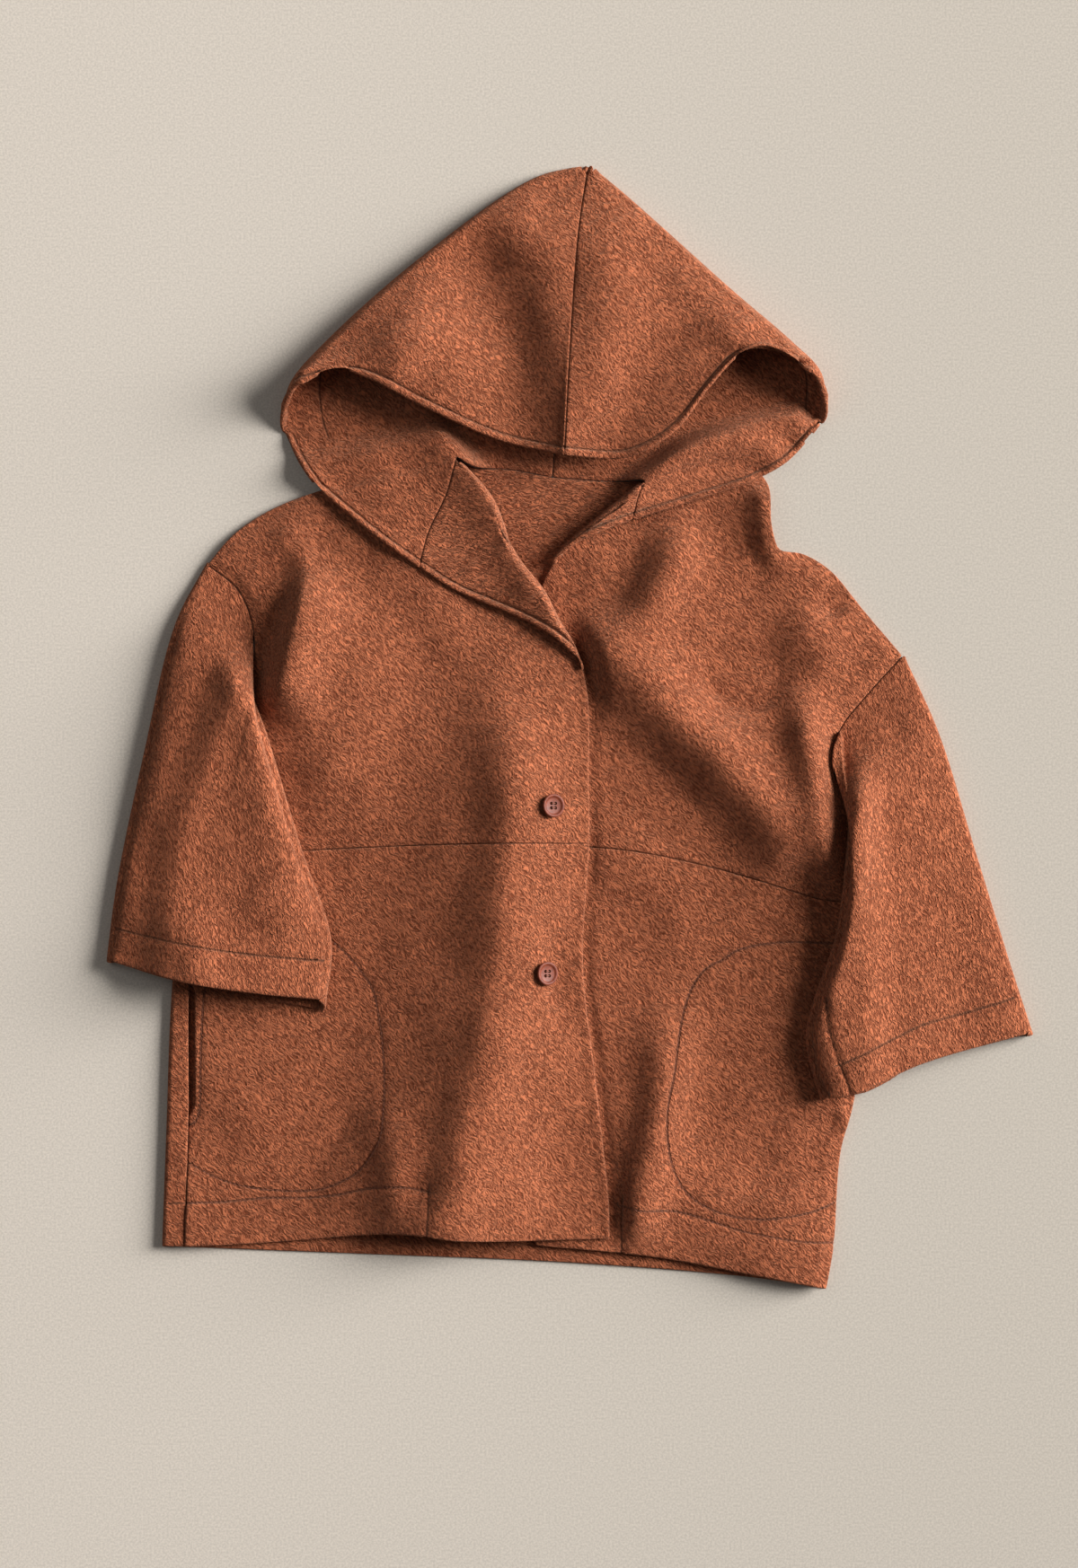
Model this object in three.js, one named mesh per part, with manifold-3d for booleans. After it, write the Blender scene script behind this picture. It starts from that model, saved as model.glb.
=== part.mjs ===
// A child's hooded coat in boiled wool, laid flat on its back with the hood turned forward.
// Millimetres. +X is the wearer's left, +Y runs up to the hood, +Z is up off the surface.
// Names ending in _r are on the wearer's right, which lies at -X.
import * as THREE from "three";
import { mergeVertices } from "three/addons/utils/BufferGeometryUtils.js";
import Module from "manifold-3d";

// Cloth
const WALL = 2.4;
const BAG_WALL = 1.6;
const SEAM_GAP = 0.3;
const HALF = WALL / 2;

// Heights of the middle of each layer of cloth above the surface
const BACK_Z = HALF;
const PRESSED_Z = BACK_Z + WALL + SEAM_GAP;
const BAG_Z = WALL + SEAM_GAP;
const FRONT_Z = BAG_Z + BAG_WALL + SEAM_GAP + HALF;
const LAYER_STEP = WALL + 0.5;
const COLLAR_STEP = WALL + 0.9;

// How cloth leaves the layer below it
const EDGE_DROP = 10;
const LAP_RISE = 3.1;
const LAP_FLAT = 60;
const LAP_FADE = 40;
const LAP_CLEAR = 34;
const SLEEVE_RAMP = 34;
const COLLAR_RAMP = 36;
const COLLAR_FULL = 14;
const SLEEVE_FULL = 3;

// Sleeves
const SLEEVE_OVER = FRONT_Z + LAYER_STEP - BACK_Z;
const SLEEVE_LAYER = WALL + 0.4;
const SLEEVE_PUFF = 3.4;
const SLEEVE_HEAD = 0.18;

// Buttons
const BUTTON_RADIUS = 9;
const BUTTON_RIM = 3.3;
const BUTTON_DISH = 2.4;
const BUTTON_HOLE = 1;
const BUTTON_SIDES = 24;
const HOLE_SIDES = 8;
const HOLES = 4;
const BUTTON_TILT = 0.16;
const BUTTON_SEAT = 0.8;
const HOLE_SPREAD = 2.1;

// Steps of the grids that the panels are built on
const FRONT_COLUMNS = 18;
const LOWER_ROWS = 14;
const ARMHOLE_STEPS = 7;
const SIDE_STEPS = 5;
const ROLL_STEPS = 7;
const ROLL_L_STEPS = 5;
const SHOULDER_STEPS = 6;
const NECK_STEPS = 3;
const GORGE_STEPS = 4;
const SLEEVE_ROWS = 12;
const HOOD_ROWS = 12;
const HOOD_COLUMNS = 8;
const HOOD_RELAX = 6;
const ARC_STEPS = 4;
const LOOP_ARC_STEPS = 6;
const BRIM_STEPS = 6;
const BAG_STEPS = 24;
const LINE_STEPS = 12;
const BENT_LINE_STEPS = 36;
const ROLL_LINE_STEPS = 6;
const CURVE_DIVISIONS = 400;
const SLEEVE_RELAX = 4;

// Corners that several pieces share: [x, y]
const NECK_R = [-84, 204];
const NECK_L = [58, 187];
const NECK_MID = [-12, 189];
const SHOULDER_TIP_R = [-273, 123];
const SHOULDER_TIP_L = [253, 54];
const UNDERARM_R = [-241, 33];
const UNDERARM_L = [211, -59];
const BREAK_R = [12, 44];
const BREAK_L = [-12, 126];
const WAIST_SIDE_R = [-274, -99];
const WAIST_FOLD_R = [-287, -99];
const WAIST_SIDE_L = [216, -133];
const WAIST_EDGE_R = [16, -88];
const WAIST_EDGE_L = [-25, -88];
const HEM_SEAM_R = [-290, -393];
const HEM_CORNER_L = [195, -425];
const HEM_EDGE_R = [31, -387];
const HEM_EDGE_L = [-25, -392];
const PEAK = [15, 424];
const BRIM_MID = [-3, 205];
const GORGE_R = [-112.5, 120.7];
const GORGE_L = [49, 157];

// Seams and edges, each through its points: [x, y]
const SHOULDER_R = [SHOULDER_TIP_R, [-253, 146], [-226, 164], [-188, 179], [-130, 195], NECK_R];
const SHOULDER_L = [
  NECK_L, [100, 195], [138, 197], [151, 184], [154, 152], [160, 135],
  [178, 131], [198, 119], [224, 88], SHOULDER_TIP_L,
];
const ARMHOLE_R = [SHOULDER_TIP_R, [-250, 104], [-239, 79], [-237.5, 56], UNDERARM_R];
const ARMHOLE_L = [SHOULDER_TIP_L, [227.5, 26], [205.6, -2], [199, -27], UNDERARM_L];
const FRONT_SIDE_R = [UNDERARM_R, [-256, -25], WAIST_SIDE_R];
const BACK_SIDE_R = [UNDERARM_R, [-265, -25], WAIST_FOLD_R];
const SIDE_L = [UNDERARM_L, [214, -95], WAIST_SIDE_L];
const ROLL_R = [
  [-81, 200], [-58, 173], [-40, 130.6], [-18.7, 102.5], [-7, 80], [4, 62], BREAK_R,
];
const ROLL_L = [[54.5, 184], [25, 160], [-1, 138], BREAK_L];
const OVERLAP_EDGE = [BREAK_R, [15, 20], [15.5, -41], WAIST_EDGE_R];
const UNDERLAP_EDGE = [BREAK_L, [-22, 100], WAIST_EDGE_L];
const WAIST_R = [WAIST_SIDE_R, [-202, -93.5], [-66, -88], WAIST_EDGE_R];
const WAIST_L = [WAIST_EDGE_L, [46, -93.5], [100, -104], [144, -116], [190, -130], WAIST_SIDE_L];
const WAIST_BACK = [WAIST_FOLD_R, [-66, -92], [100, -108], WAIST_SIDE_L];
const SIDE_SEAM_R = [WAIST_SIDE_R, [-286, -192], [-287, -293], HEM_SEAM_R];
const SIDE_FOLD_R = [WAIST_FOLD_R, [-298, -191], [-303, -311], [-306, -393]];
const LOWER_SIDE_L = [WAIST_SIDE_L, [217.5, -275], [206, -323], [201, -390], HEM_CORNER_L];
const LOWER_EDGE_R = [WAIST_EDGE_R, [11, -180], [20, -261], [30, -355], HEM_EDGE_R];
const HEM_R = [HEM_SEAM_R, [-227, -390], [-128, -383], [-77, -388], HEM_EDGE_R];
const HEM_L = [HEM_EDGE_L, [66, -401], [127, -412], HEM_CORNER_L];
const HEM_BACK = [[-306, -393], [-150, -399], [-6, -405], [134, -416], HEM_CORNER_L];
const NECK_SEAM_R = [NECK_R, [-72, 197], [-45, 195], NECK_MID];
const NECK_SEAM_L = [NECK_MID, [32, 186], NECK_L];
const GORGE_SEAM_R = [GORGE_R, [-105.7, 147], [-92, 176], NECK_R];
const GORGE_SEAM_L = [GORGE_L, [52, 172], NECK_L];
const LAPEL_EDGE_R = [GORGE_R, [-86, 104], [-36.6, 82.8], [-15, 71], [0, 59], [7, 48]];
const LAPEL_EDGE_L = [GORGE_L, [25, 148], [4, 138], [-11, 123]];
const SLEEVE_OUTER_R = [SHOULDER_TIP_R, [-296, 78], [-320, -21], [-340, -117], [-348, -176]];
const SLEEVE_INNER_R = [UNDERARM_R, [-238, 20], [-229.5, -3], [-202, -93.5], [-180, -161.5], [-184, -206]];
const CUFF_R = [[-348, -176], [-297, -191], [-237, -201], [-184, -206]];
const SLEEVE_OUTER_L = [SHOULDER_TIP_L, [279, -4], [308, -97.6], [333.5, -180], [350, -231]];
const SLEEVE_INNER_L = [
  UNDERARM_L, [217, -73], [216, -95], [204, -158], [186, -208], [180.5, -235], [191, -280],
];
const CUFF_L = [[350, -231], [268, -254], [213, -278], [191, -280]];
const CENTRE_TOP = [PEAK, [8, 377], [2, 298], BRIM_MID];
const CENTRE_BACK = [PEAK, [6, 377], [-4, 280], NECK_MID];
const HOOD_FOLD_R = [[9, 423.5], [-26, 414], [-115, 351], [-186, 287], [-208, 261], [-213.5, 243]];
const HOOD_FOLD_L = [[20, 421], [45, 400], [125, 328], [169, 290], [189, 269], [193, 250]];
const BRIM_R = [BRIM_MID, [-53, 217], [-106, 240], [-151, 263], [-176, 270]];
const BRIM_L = [
  BRIM_MID, [45, 204], [80, 223], [107, 257], [130, 281], [146, 287], [164, 281],
];
const LOWER_BRIM_R = [[[-203, 200], [-190, 181]], [[-190, 181], [-145, 144], GORGE_R]];
const LOWER_BRIM_L = [[[182, 218]], [[182, 218], [164, 200], [140, 187], [99, 173], GORGE_L]];

// Folds: a ridge from one point to the other, with its half-width and height
const fold = (x0, y0, x1, y1, width, height) => ({ x0, y0, x1, y1, width, height });
const FRONT_R_FOLDS = [
  fold(-45, 15, -53, -150, 22, 8),
  fold(-53, -150, -72, -365, 22, 9),
  fold(-198, 108, -210, 40, 14, 10),
  fold(-141, -231, -123, -364, 15, 5),
  fold(-130, 60, -150, -60, 38, 4),
];
const FRONT_L_FOLDS = [
  fold(107, 140, 52, 27, 15, 6),
  fold(150, 158, 157, 132, 12, 7),
  fold(32, 48, 107, -34, 20, 6),
  fold(107, -34, 165, -108, 18, 7),
  fold(180, 15, 193, -95, 13, 7),
  fold(78, -205, 58, -350, 14, 6),
];
const SLEEVE_R_FOLDS = [fold(-222, -30, -198, -150, 15, 4), fold(-300, 30, -322, -110, 14, 2)];
const SLEEVE_L_FOLDS = [
  fold(238, -30, 222, -150, 15, 6),
  fold(318, -120, 330, -190, 12, 3),
  fold(255, 10, 280, -70, 20, 3),
];
const HOOD_R_FOLDS = [fold(-100, 320, -150, 272, 24, 8), fold(-50, 325, -30, 240, 18, -8)];
const HOOD_L_FOLDS = [fold(110, 310, 140, 300, 22, 6), fold(72, 330, 62, 230, 20, -6)];

// Rise of the collar along its roll line: half-width and height
const ROLL_RISE_R = { width: 20, height: 7 };
const ROLL_RISE_L = { width: 17, height: 11 };
const HOOD_ROLL_R = [[-112, 246], NECK_R];
const HOOD_ROLL_L = [[172, 232], [148, 229], [99, 214], NECK_L];

// Sections of the hood from its peak to its brim: share of the way, height of the centre seam,
// rise of the side fold, how far it reaches in above and below, how far the brim slips round it
const HOOD_SECTIONS = [
  { at: 0, centre: 7, rise: 6, above: 3, below: 3, slip: 0 },
  { at: 0.35, centre: 17, rise: 9, above: 4, below: 4, slip: 0 },
  { at: 0.75, centre: 24, rise: 17, above: 6, below: 5, slip: 1 },
  { at: 1, centre: 20, rise: 31, above: 8, below: 3, slip: 19 },
];

// Pocket bag outlines between the front and the back: [x, y]
const BAG_R = [
  [-276, -150], [-200, -152], [-168, -171], [-146, -200], [-139, -260],
  [-150, -325], [-190, -350], [-250, -347], [-276, -335],
];
const BAG_L = [
  [190, -162], [140, -165], [105, -182], [87, -215], [75, -300],
  [88, -350], [130, -371], [160, -371], [184, -362], [192, -300],
];

// Buttons: [x, y]
const BUTTONS = { button_upper: [-12, -59.4], button_lower: [-16.7, -186] };

// Colour of each material
const WOOL = { color: 0x91553b, roughness: 0.95, metalness: 0 };
const WOOL_INSIDE = { color: 0x7d4630, roughness: 0.95, metalness: 0 };
const HORN = { color: 0x6d3527, roughness: 0.45, metalness: 0 };

const clamp01 = (t) => Math.min(1, Math.max(0, t));
const smooth = (t) => clamp01(t) ** 2 * (3 - 2 * clamp01(t));
const mix = (a, b, t) => a + (b - a) * t;

// Evenly spaced points along a smooth curve through the given ones
function along(points, steps) {
  const curve = new THREE.CatmullRomCurve3(
    points.map(([x, y]) => new THREE.Vector3(x, y, 0)), false, "centripetal",
  );
  curve.arcLengthDivisions = CURVE_DIVISIONS;
  return Array.from({ length: steps + 1 }, (_, i) => {
    const p = curve.getPointAt(i / steps);
    return [p.x, p.y];
  });
}

// Two or more edges in a row, the shared corners once
const chain = (...edges) => edges.flatMap((edge, i) => (i ? edge.slice(1) : edge));
const reversed = (edge) => [...edge].reverse();

// Nearest point of an edge: its distance, and on which side of the edge the point lies
function nearest(edge, x, y) {
  let best = { distance: Infinity, side: 1 };
  for (let i = 0; i + 1 < edge.length; i++) {
    const [ax, ay] = edge[i];
    const [dx, dy] = [edge[i + 1][0] - ax, edge[i + 1][1] - ay];
    const t = clamp01(((x - ax) * dx + (y - ay) * dy) / (dx * dx + dy * dy));
    const distance = Math.hypot(x - ax - t * dx, y - ay - t * dy);
    if (distance < best.distance)
      best = { distance, side: Math.sign(dx * (y - ay) - dy * (x - ax)) || 1 };
  }
  return best;
}

const distanceTo = (edge, x, y) => nearest(edge, x, y).distance;

// Height that a table of folds adds at a point
function foldHeight(folds, x, y) {
  let height = 0;
  for (const f of folds) {
    const d = distanceTo([[f.x0, f.y0], [f.x1, f.y1]], x, y);
    height += f.height * Math.exp(-((d / f.width) ** 2));
  }
  return height;
}

// Sampled edges that several pieces share
const edges = {
  armholeR: along(ARMHOLE_R, ARMHOLE_STEPS),
  armholeL: along(ARMHOLE_L, ARMHOLE_STEPS),
  rollR: along(ROLL_R, ROLL_STEPS),
  rollL: along(ROLL_L, ROLL_L_STEPS),
  waistR: along(WAIST_R, FRONT_COLUMNS),
  waistL: along(WAIST_L, FRONT_COLUMNS),
  neckR: along(NECK_SEAM_R, NECK_STEPS),
  neckL: along(NECK_SEAM_L, NECK_STEPS),
  gorgeR: along(GORGE_SEAM_R, GORGE_STEPS),
  gorgeL: along(GORGE_SEAM_L, GORGE_STEPS),
  sideSeamR: along(SIDE_SEAM_R, LOWER_ROWS),
  centreTop: along(CENTRE_TOP, HOOD_ROWS),
  centreBack: along(CENTRE_BACK, HOOD_ROWS),
};
const openEdgeR = chain(
  edges.rollR, along(OVERLAP_EDGE, LINE_STEPS), along(LOWER_EDGE_R, LINE_STEPS),
);
const pressedR = chain(
  reversed(along(SHOULDER_R, LINE_STEPS)), edges.armholeR, along(FRONT_SIDE_R, SIDE_STEPS),
);
const pressedL = chain(
  along(SHOULDER_L, BENT_LINE_STEPS), edges.armholeL, along(SIDE_L, SIDE_STEPS),
  along(LOWER_SIDE_L, LINE_STEPS),
);
const sideLineR = chain(along(BACK_SIDE_R, SIDE_STEPS), along(SIDE_FOLD_R, LINE_STEPS));
const sideLineL = chain(along(SIDE_L, SIDE_STEPS), along(LOWER_SIDE_L, LINE_STEPS));
const shoulderLineR = along(SHOULDER_R, LINE_STEPS);
const shoulderLineL = along(SHOULDER_L, BENT_LINE_STEPS);

// Height of the top front: pressed down at its seams, raised where it laps over the other one
function frontRZ(x, y) {
  const base = mix(PRESSED_Z, FRONT_Z, smooth(distanceTo(pressedR, x, y) / EDGE_DROP));
  const lap = LAP_RISE * (1 - smooth((distanceTo(openEdgeR, x, y) - LAP_FLAT) / LAP_FADE));
  return base + lap + foldHeight(FRONT_R_FOLDS, x, y);
}

// Height of the front below: flat where the other one laps over it
function frontLZ(x, y) {
  const base = mix(PRESSED_Z, FRONT_Z, smooth(distanceTo(pressedL, x, y) / EDGE_DROP));
  const clearOfLap = smooth((x - HEM_EDGE_R[0]) / LAP_CLEAR);
  return base + clearOfLap * foldHeight(FRONT_L_FOLDS, x, y);
}

// Height of cloth that climbs from the surface onto the body across a line of its outline
function climb(line, bodySide, ramp, full, floor, over, x, y) {
  const near = nearest(line, x, y);
  const outside = near.side === bodySide ? 0 : near.distance;
  return mix(floor, over, smooth((ramp - outside) / (ramp - full)));
}

// Height of the turned-back collar on each side, and of the hood's back below it
function collarZ(line, bodySide, frontZ, roll, rise, x, y) {
  const over = frontZ(x, y) + COLLAR_STEP;
  const level = climb(line, bodySide, COLLAR_RAMP, COLLAR_FULL, BACK_Z, over, x, y);
  return level + rise.height * Math.exp(-((distanceTo(roll, x, y) / rise.width) ** 2));
}
const rollLineR = chain(along(HOOD_ROLL_R, ROLL_LINE_STEPS), edges.rollR);
const rollLineL = chain(along(HOOD_ROLL_L, ROLL_LINE_STEPS), edges.rollL);
const collarRZ = (x, y) => collarZ(shoulderLineR, -1, frontRZ, rollLineR, ROLL_RISE_R, x, y);
const collarLZ = (x, y) => collarZ(shoulderLineL, -1, frontLZ, rollLineL, ROLL_RISE_L, x, y);

// A four-sided net of [x, y] points inside its edges: near and far run one way, first and last
// join their ends
function net(near, far, first, last) {
  const columns = near.length - 1;
  const rows = first.length - 1;
  return first.map((_, j) => near.map((__, i) => {
    const u = i / columns;
    const v = j / rows;
    return [0, 1].map((k) =>
      mix(near[i][k], far[i][k], v) + mix(first[j][k], last[j][k], u)
      - mix(mix(near[0][k], near[columns][k], u), mix(far[0][k], far[columns][k], u), v));
  }));
}

// Evens out the inner points of a net
function relaxed(points, rounds) {
  let now = points;
  for (let k = 0; k < rounds; k++)
    now = now.map((row, j) => row.map((p, i) => {
      const border = j % (now.length - 1) === 0 || i % (row.length - 1) === 0;
      const beside = border ? [p] : [now[j - 1][i], now[j + 1][i], row[i - 1], row[i + 1]];
      return [0, 1].map((c) => beside.reduce((sum, q) => sum + q[c], 0) / beside.length);
    }));
  return now;
}

// Unit vector square to an edge at one of its points, on its right
function rightOf(edge, i) {
  const a = edge[Math.max(0, i - 1)];
  const b = edge[Math.min(edge.length - 1, i + 1)];
  const length = Math.hypot(b[0] - a[0], b[1] - a[1]);
  return [(b[1] - a[1]) / length, -(b[0] - a[0]) / length];
}

// Moves the sewn borders of a net in by half a seam gap; the far one may start part of the way
const ALL_SEWN = { near: true, far: true, first: true, last: true, farFrom: 0 };
function inset(points, sewn = ALL_SEWN) {
  const rows = points.length - 1;
  const columns = points[0].length - 1;
  const movedIn = (border, inner) => border.map(([x, y], i) => {
    const [rx, ry] = rightOf(border, i);
    const way = Math.sign((inner[i][0] - x) * rx + (inner[i][1] - y) * ry) * SEAM_GAP / 2;
    return [x + rx * way, y + ry * way];
  });
  const out = points.map((row) => [...row]);
  const column = (i) => out.map((row) => row[i]);
  if (sewn.first) movedIn(column(0), column(1)).forEach((p, j) => { out[j][0] = p; });
  if (sewn.last)
    movedIn(column(columns), column(columns - 1)).forEach((p, j) => { out[j][columns] = p; });
  if (sewn.near) out[0] = movedIn(out[0], out[1]);
  if (sewn.far) {
    const moved = movedIn(out[rows], out[rows - 1]);
    out[rows] = out[rows].map((p, i) => (i >= sewn.farFrom ? moved[i] : p));
  }
  return out;
}

// A row of points at one height rule, each with the way its wall is thickened
const sheetRow = (row, heightOf, up) =>
  row.map(([x, y], i) => ({ x, y, z: heightOf(x, y, i), nx: 0, ny: 0, nz: up }));

// Points that turn from one layer to the other round the outline: from and to are the ends of the
// two rows, outward the way the turn bulges, bulge how far
function turn(from, to, outward, bulge, steps) {
  return Array.from({ length: steps - 1 }, (_, k) => {
    const angle = (Math.PI * (k + 1)) / steps;
    const share = (1 - Math.cos(angle)) / 2;
    const lift = Math.cos(angle) * from.nz;
    const out = Math.sin(angle);
    return {
      x: mix(from.x, to.x, share) + outward[0] * bulge * out,
      y: mix(from.y, to.y, share) + outward[1] * bulge * out,
      z: mix(from.z, to.z, share),
      nx: outward[0] * out,
      ny: outward[1] * out,
      nz: lift,
    };
  });
}

// A closed wall of cloth on grids of points that share their joining rows, thickened both ways;
// ring joins the last column of a grid to its first
function wall(grids, ring = false) {
  const points = [];
  const known = new Map();
  const number = (p) => {
    const key = [p.x, p.y, p.z].map((c) => c.toFixed(3)).join();
    if (!known.has(key)) known.set(key, points.push(p) - 1);
    return known.get(key);
  };
  const cells = grids.flatMap((grid) => {
    const ids = grid.map((row) => row.map(number));
    const columns = ids[0].length;
    return ids.slice(1).flatMap((row, j) =>
      row.slice(ring ? 0 : 1).map((_, i) => {
        const [a, b] = ring ? [i, (i + 1) % columns] : [i, i + 1];
        return [ids[j][a], ids[j][b], row[b], row[a]];
      }));
  });
  const sides = new Map();
  for (const cell of cells)
    cell.forEach((from, k) => {
      const to = cell[(k + 1) % 4];
      if (!sides.delete(`${to},${from}`)) sides.set(`${from},${to}`, [from, to]);
    });
  const count = points.length;
  const positions = new Float32Array(count * 2 * 3);
  points.forEach((p, i) => {
    [HALF, -HALF].forEach((t, face) => positions.set(
      [p.x + p.nx * t, p.y + p.ny * t, p.z + p.nz * t], (face * count + i) * 3,
    ));
  });
  const index = [];
  const quad = (a, b, c, d) => index.push(a, b, c, a, c, d);
  for (const [a, b, c, d] of cells) {
    quad(a, b, c, d);
    quad(count + a, count + d, count + c, count + b);
  }
  for (const [from, to] of sides.values()) quad(to, from, count + from, count + to);
  const geometry = new THREE.BufferGeometry();
  geometry.setAttribute("position", new THREE.BufferAttribute(positions, 3));
  geometry.setIndex(signedVolume(positions, index) < 0 ? index.reverse() : index);
  geometry.computeVertexNormals();
  return geometry;
}

function signedVolume(positions, index) {
  let volume = 0;
  const vertex = (i) => new THREE.Vector3().fromArray(positions, i * 3);
  for (let i = 0; i < index.length; i += 3) {
    const [a, b, c] = [vertex(index[i]), vertex(index[i + 1]), vertex(index[i + 2])];
    volume += a.dot(b.cross(c)) / 6;
  }
  return volume;
}

const coat = new THREE.Group();
function add(name, geometry, finish) {
  const mesh = new THREE.Mesh(geometry, new THREE.MeshStandardMaterial(finish));
  mesh.name = name;
  coat.add(mesh);
}

// A flat panel on its net
const panel = (points, heightOf) =>
  wall([inset(points).map((row) => sheetRow(row, heightOf, 1))]);

// Each front stops short of its roll line, to leave room for the turn to the lapel: the turn is
// as deep as the roll is high, no deeper than a share of the lapel, and it fades out at both ends
const ROLL_FULLNESS = 0.4;
const TURN_TAPER = 0.3;
const TURN_LEAST = 1;
const TURN_SHARE = 0.28;
function frontRollEdge(roll, lapelEdge, inward, frontZ, collar) {
  const edge = along(lapelEdge, roll.length - 1);
  return roll.map(([x, y], i) => {
    const [rx, ry] = rightOf(roll, i);
    const share = i / (roll.length - 1);
    const taper = smooth(share / TURN_TAPER) * smooth((1 - share) / TURN_TAPER);
    const rise = collar(x, y) - frontZ(x, y);
    const width = Math.hypot(edge[i][0] - x, edge[i][1] - y);
    const full = Math.max(TURN_LEAST, Math.min(rise * ROLL_FULLNESS, width * TURN_SHARE));
    const depth = mix(TURN_LEAST, full, taper);
    return [x + rx * inward * depth, y + ry * inward * depth];
  });
}
const rollEdgeR = frontRollEdge(edges.rollR, LAPEL_EDGE_R, 1, frontRZ, collarRZ);
const rollEdgeL = frontRollEdge(edges.rollL, LAPEL_EDGE_L, -1, frontLZ, collarLZ);

// Upper fronts
const overlapSteps = ARMHOLE_STEPS + SIDE_STEPS - ROLL_STEPS;
const underlapSteps = ARMHOLE_STEPS + SIDE_STEPS - ROLL_L_STEPS;
const overlapEdge = along([rollEdgeR[ROLL_STEPS], ...OVERLAP_EDGE.slice(1)], overlapSteps);
const underlapEdge = along([rollEdgeL[ROLL_L_STEPS], ...UNDERLAP_EDGE.slice(1)], underlapSteps);
const frontTopR = along([...SHOULDER_R.slice(0, -1), rollEdgeR[0]], FRONT_COLUMNS);
const frontTopL = along([rollEdgeL[0], ...SHOULDER_L.slice(1)], FRONT_COLUMNS);
add("front_upper_r", panel(net(
  frontTopR, edges.waistR,
  chain(edges.armholeR, along(FRONT_SIDE_R, SIDE_STEPS)), chain(rollEdgeR, overlapEdge),
), frontRZ), WOOL);
add("front_upper_l", panel(net(
  frontTopL, edges.waistL,
  chain(rollEdgeL, underlapEdge), chain(edges.armholeL, along(SIDE_L, SIDE_STEPS)),
), frontLZ), WOOL);

// Lower fronts; the pocket mouth stands open along part of the side seam
const POCKET_MOUTH = { top: -190, bottom: -296, open: 4.5, fade: 12 };
const mouthEdge = edges.sideSeamR.map(([x, y]) => {
  const { top, bottom, open, fade } = POCKET_MOUTH;
  const share = smooth((top - y) / fade) * smooth((y - bottom) / fade);
  return [x + open * share, y];
});
add("front_lower_r", panel(net(
  edges.waistR, along(HEM_R, FRONT_COLUMNS), mouthEdge, along(LOWER_EDGE_R, LOWER_ROWS),
), frontRZ), WOOL);
add("front_lower_l", panel(net(
  edges.waistL, along(HEM_L, FRONT_COLUMNS),
  along([WAIST_EDGE_L, HEM_EDGE_L], LOWER_ROWS), along(LOWER_SIDE_L, LOWER_ROWS),
), frontLZ), WOOL);

// Lapels, each turned back from the front's roll line
function lapel(roll, rollEdge, edge, gorge, inward, frontZ, collar) {
  const rows = roll.length - 1;
  const columns = gorge.length - 1;
  const start = roll.map(([x, y], i) => {
    const [rx, ry] = rightOf(roll, i);
    const [ex, ey] = rollEdge[i];
    return [ex - rx * inward * SEAM_GAP, ey - ry * inward * SEAM_GAP];
  });
  const outer = along(edge, rows);
  const near = [start[0], ...reversed(gorge).slice(1)];
  const far = along([start[rows], outer[rows]], columns);
  outer[0] = near[columns];
  return wall([inset(net(near, far, start, outer)).map((row, j) => {
    const over = sheetRow(row, collar, 1);
    const [rx, ry] = rightOf(roll, j);
    const [x, y] = start[j];
    const under = { x, y, z: frontZ(x, y), nx: 0, ny: 0, nz: -1 };
    const depth = Math.hypot(x - roll[j][0], y - roll[j][1]);
    return [
      under, ...turn(under, over[0], [-rx * inward, -ry * inward], depth, ARC_STEPS), ...over,
    ];
  })]);
}
add("lapel_r", lapel(
  edges.rollR, rollEdgeR, LAPEL_EDGE_R, edges.gorgeR, 1, frontRZ, collarRZ,
), WOOL_INSIDE);
add("lapel_l", lapel(
  edges.rollL, rollEdgeL, LAPEL_EDGE_L, edges.gorgeL, -1, frontLZ, collarLZ,
), WOOL_INSIDE);

// Back: flat on the surface, its lower half turning up round the wearer's right side
const backZ = () => BACK_Z;
add("back_upper", panel(net(
  chain(
    along(SHOULDER_R, SHOULDER_STEPS), edges.neckR, edges.neckL,
    along(SHOULDER_L, 2 * SHOULDER_STEPS),
  ),
  along(WAIST_BACK, 3 * SHOULDER_STEPS + 2 * NECK_STEPS),
  chain(edges.armholeR, along(BACK_SIDE_R, SIDE_STEPS)),
  chain(edges.armholeL, along(SIDE_L, SIDE_STEPS)),
), backZ), WOOL);
const WRAP = (FRONT_Z - BACK_Z) / 2;
const sideFold = along(SIDE_FOLD_R, LOWER_ROWS);
const wrapStart = sideFold.map(([x, y]) => [x + WRAP, y]);
const lowerBack = inset(net(
  along([wrapStart[0], ...WAIST_BACK.slice(1)], FRONT_COLUMNS),
  along([wrapStart[LOWER_ROWS], ...HEM_BACK.slice(1)], FRONT_COLUMNS),
  wrapStart, along(LOWER_SIDE_L, LOWER_ROWS),
));
add("back_lower", wall([lowerBack.map((row, j) => {
  const under = sheetRow(row, backZ, -1);
  const [seamX] = edges.sideSeamR[j];
  const strip = [seamX - SEAM_GAP / 2, row[0][0]].map(
    (x) => ({ x, y: row[0][1], z: FRONT_Z, nx: 0, ny: 0, nz: 1 }),
  );
  return [...strip, ...turn(strip[1], under[0], [-1, 0], WRAP, ARC_STEPS), ...under];
})]), WOOL);

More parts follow.
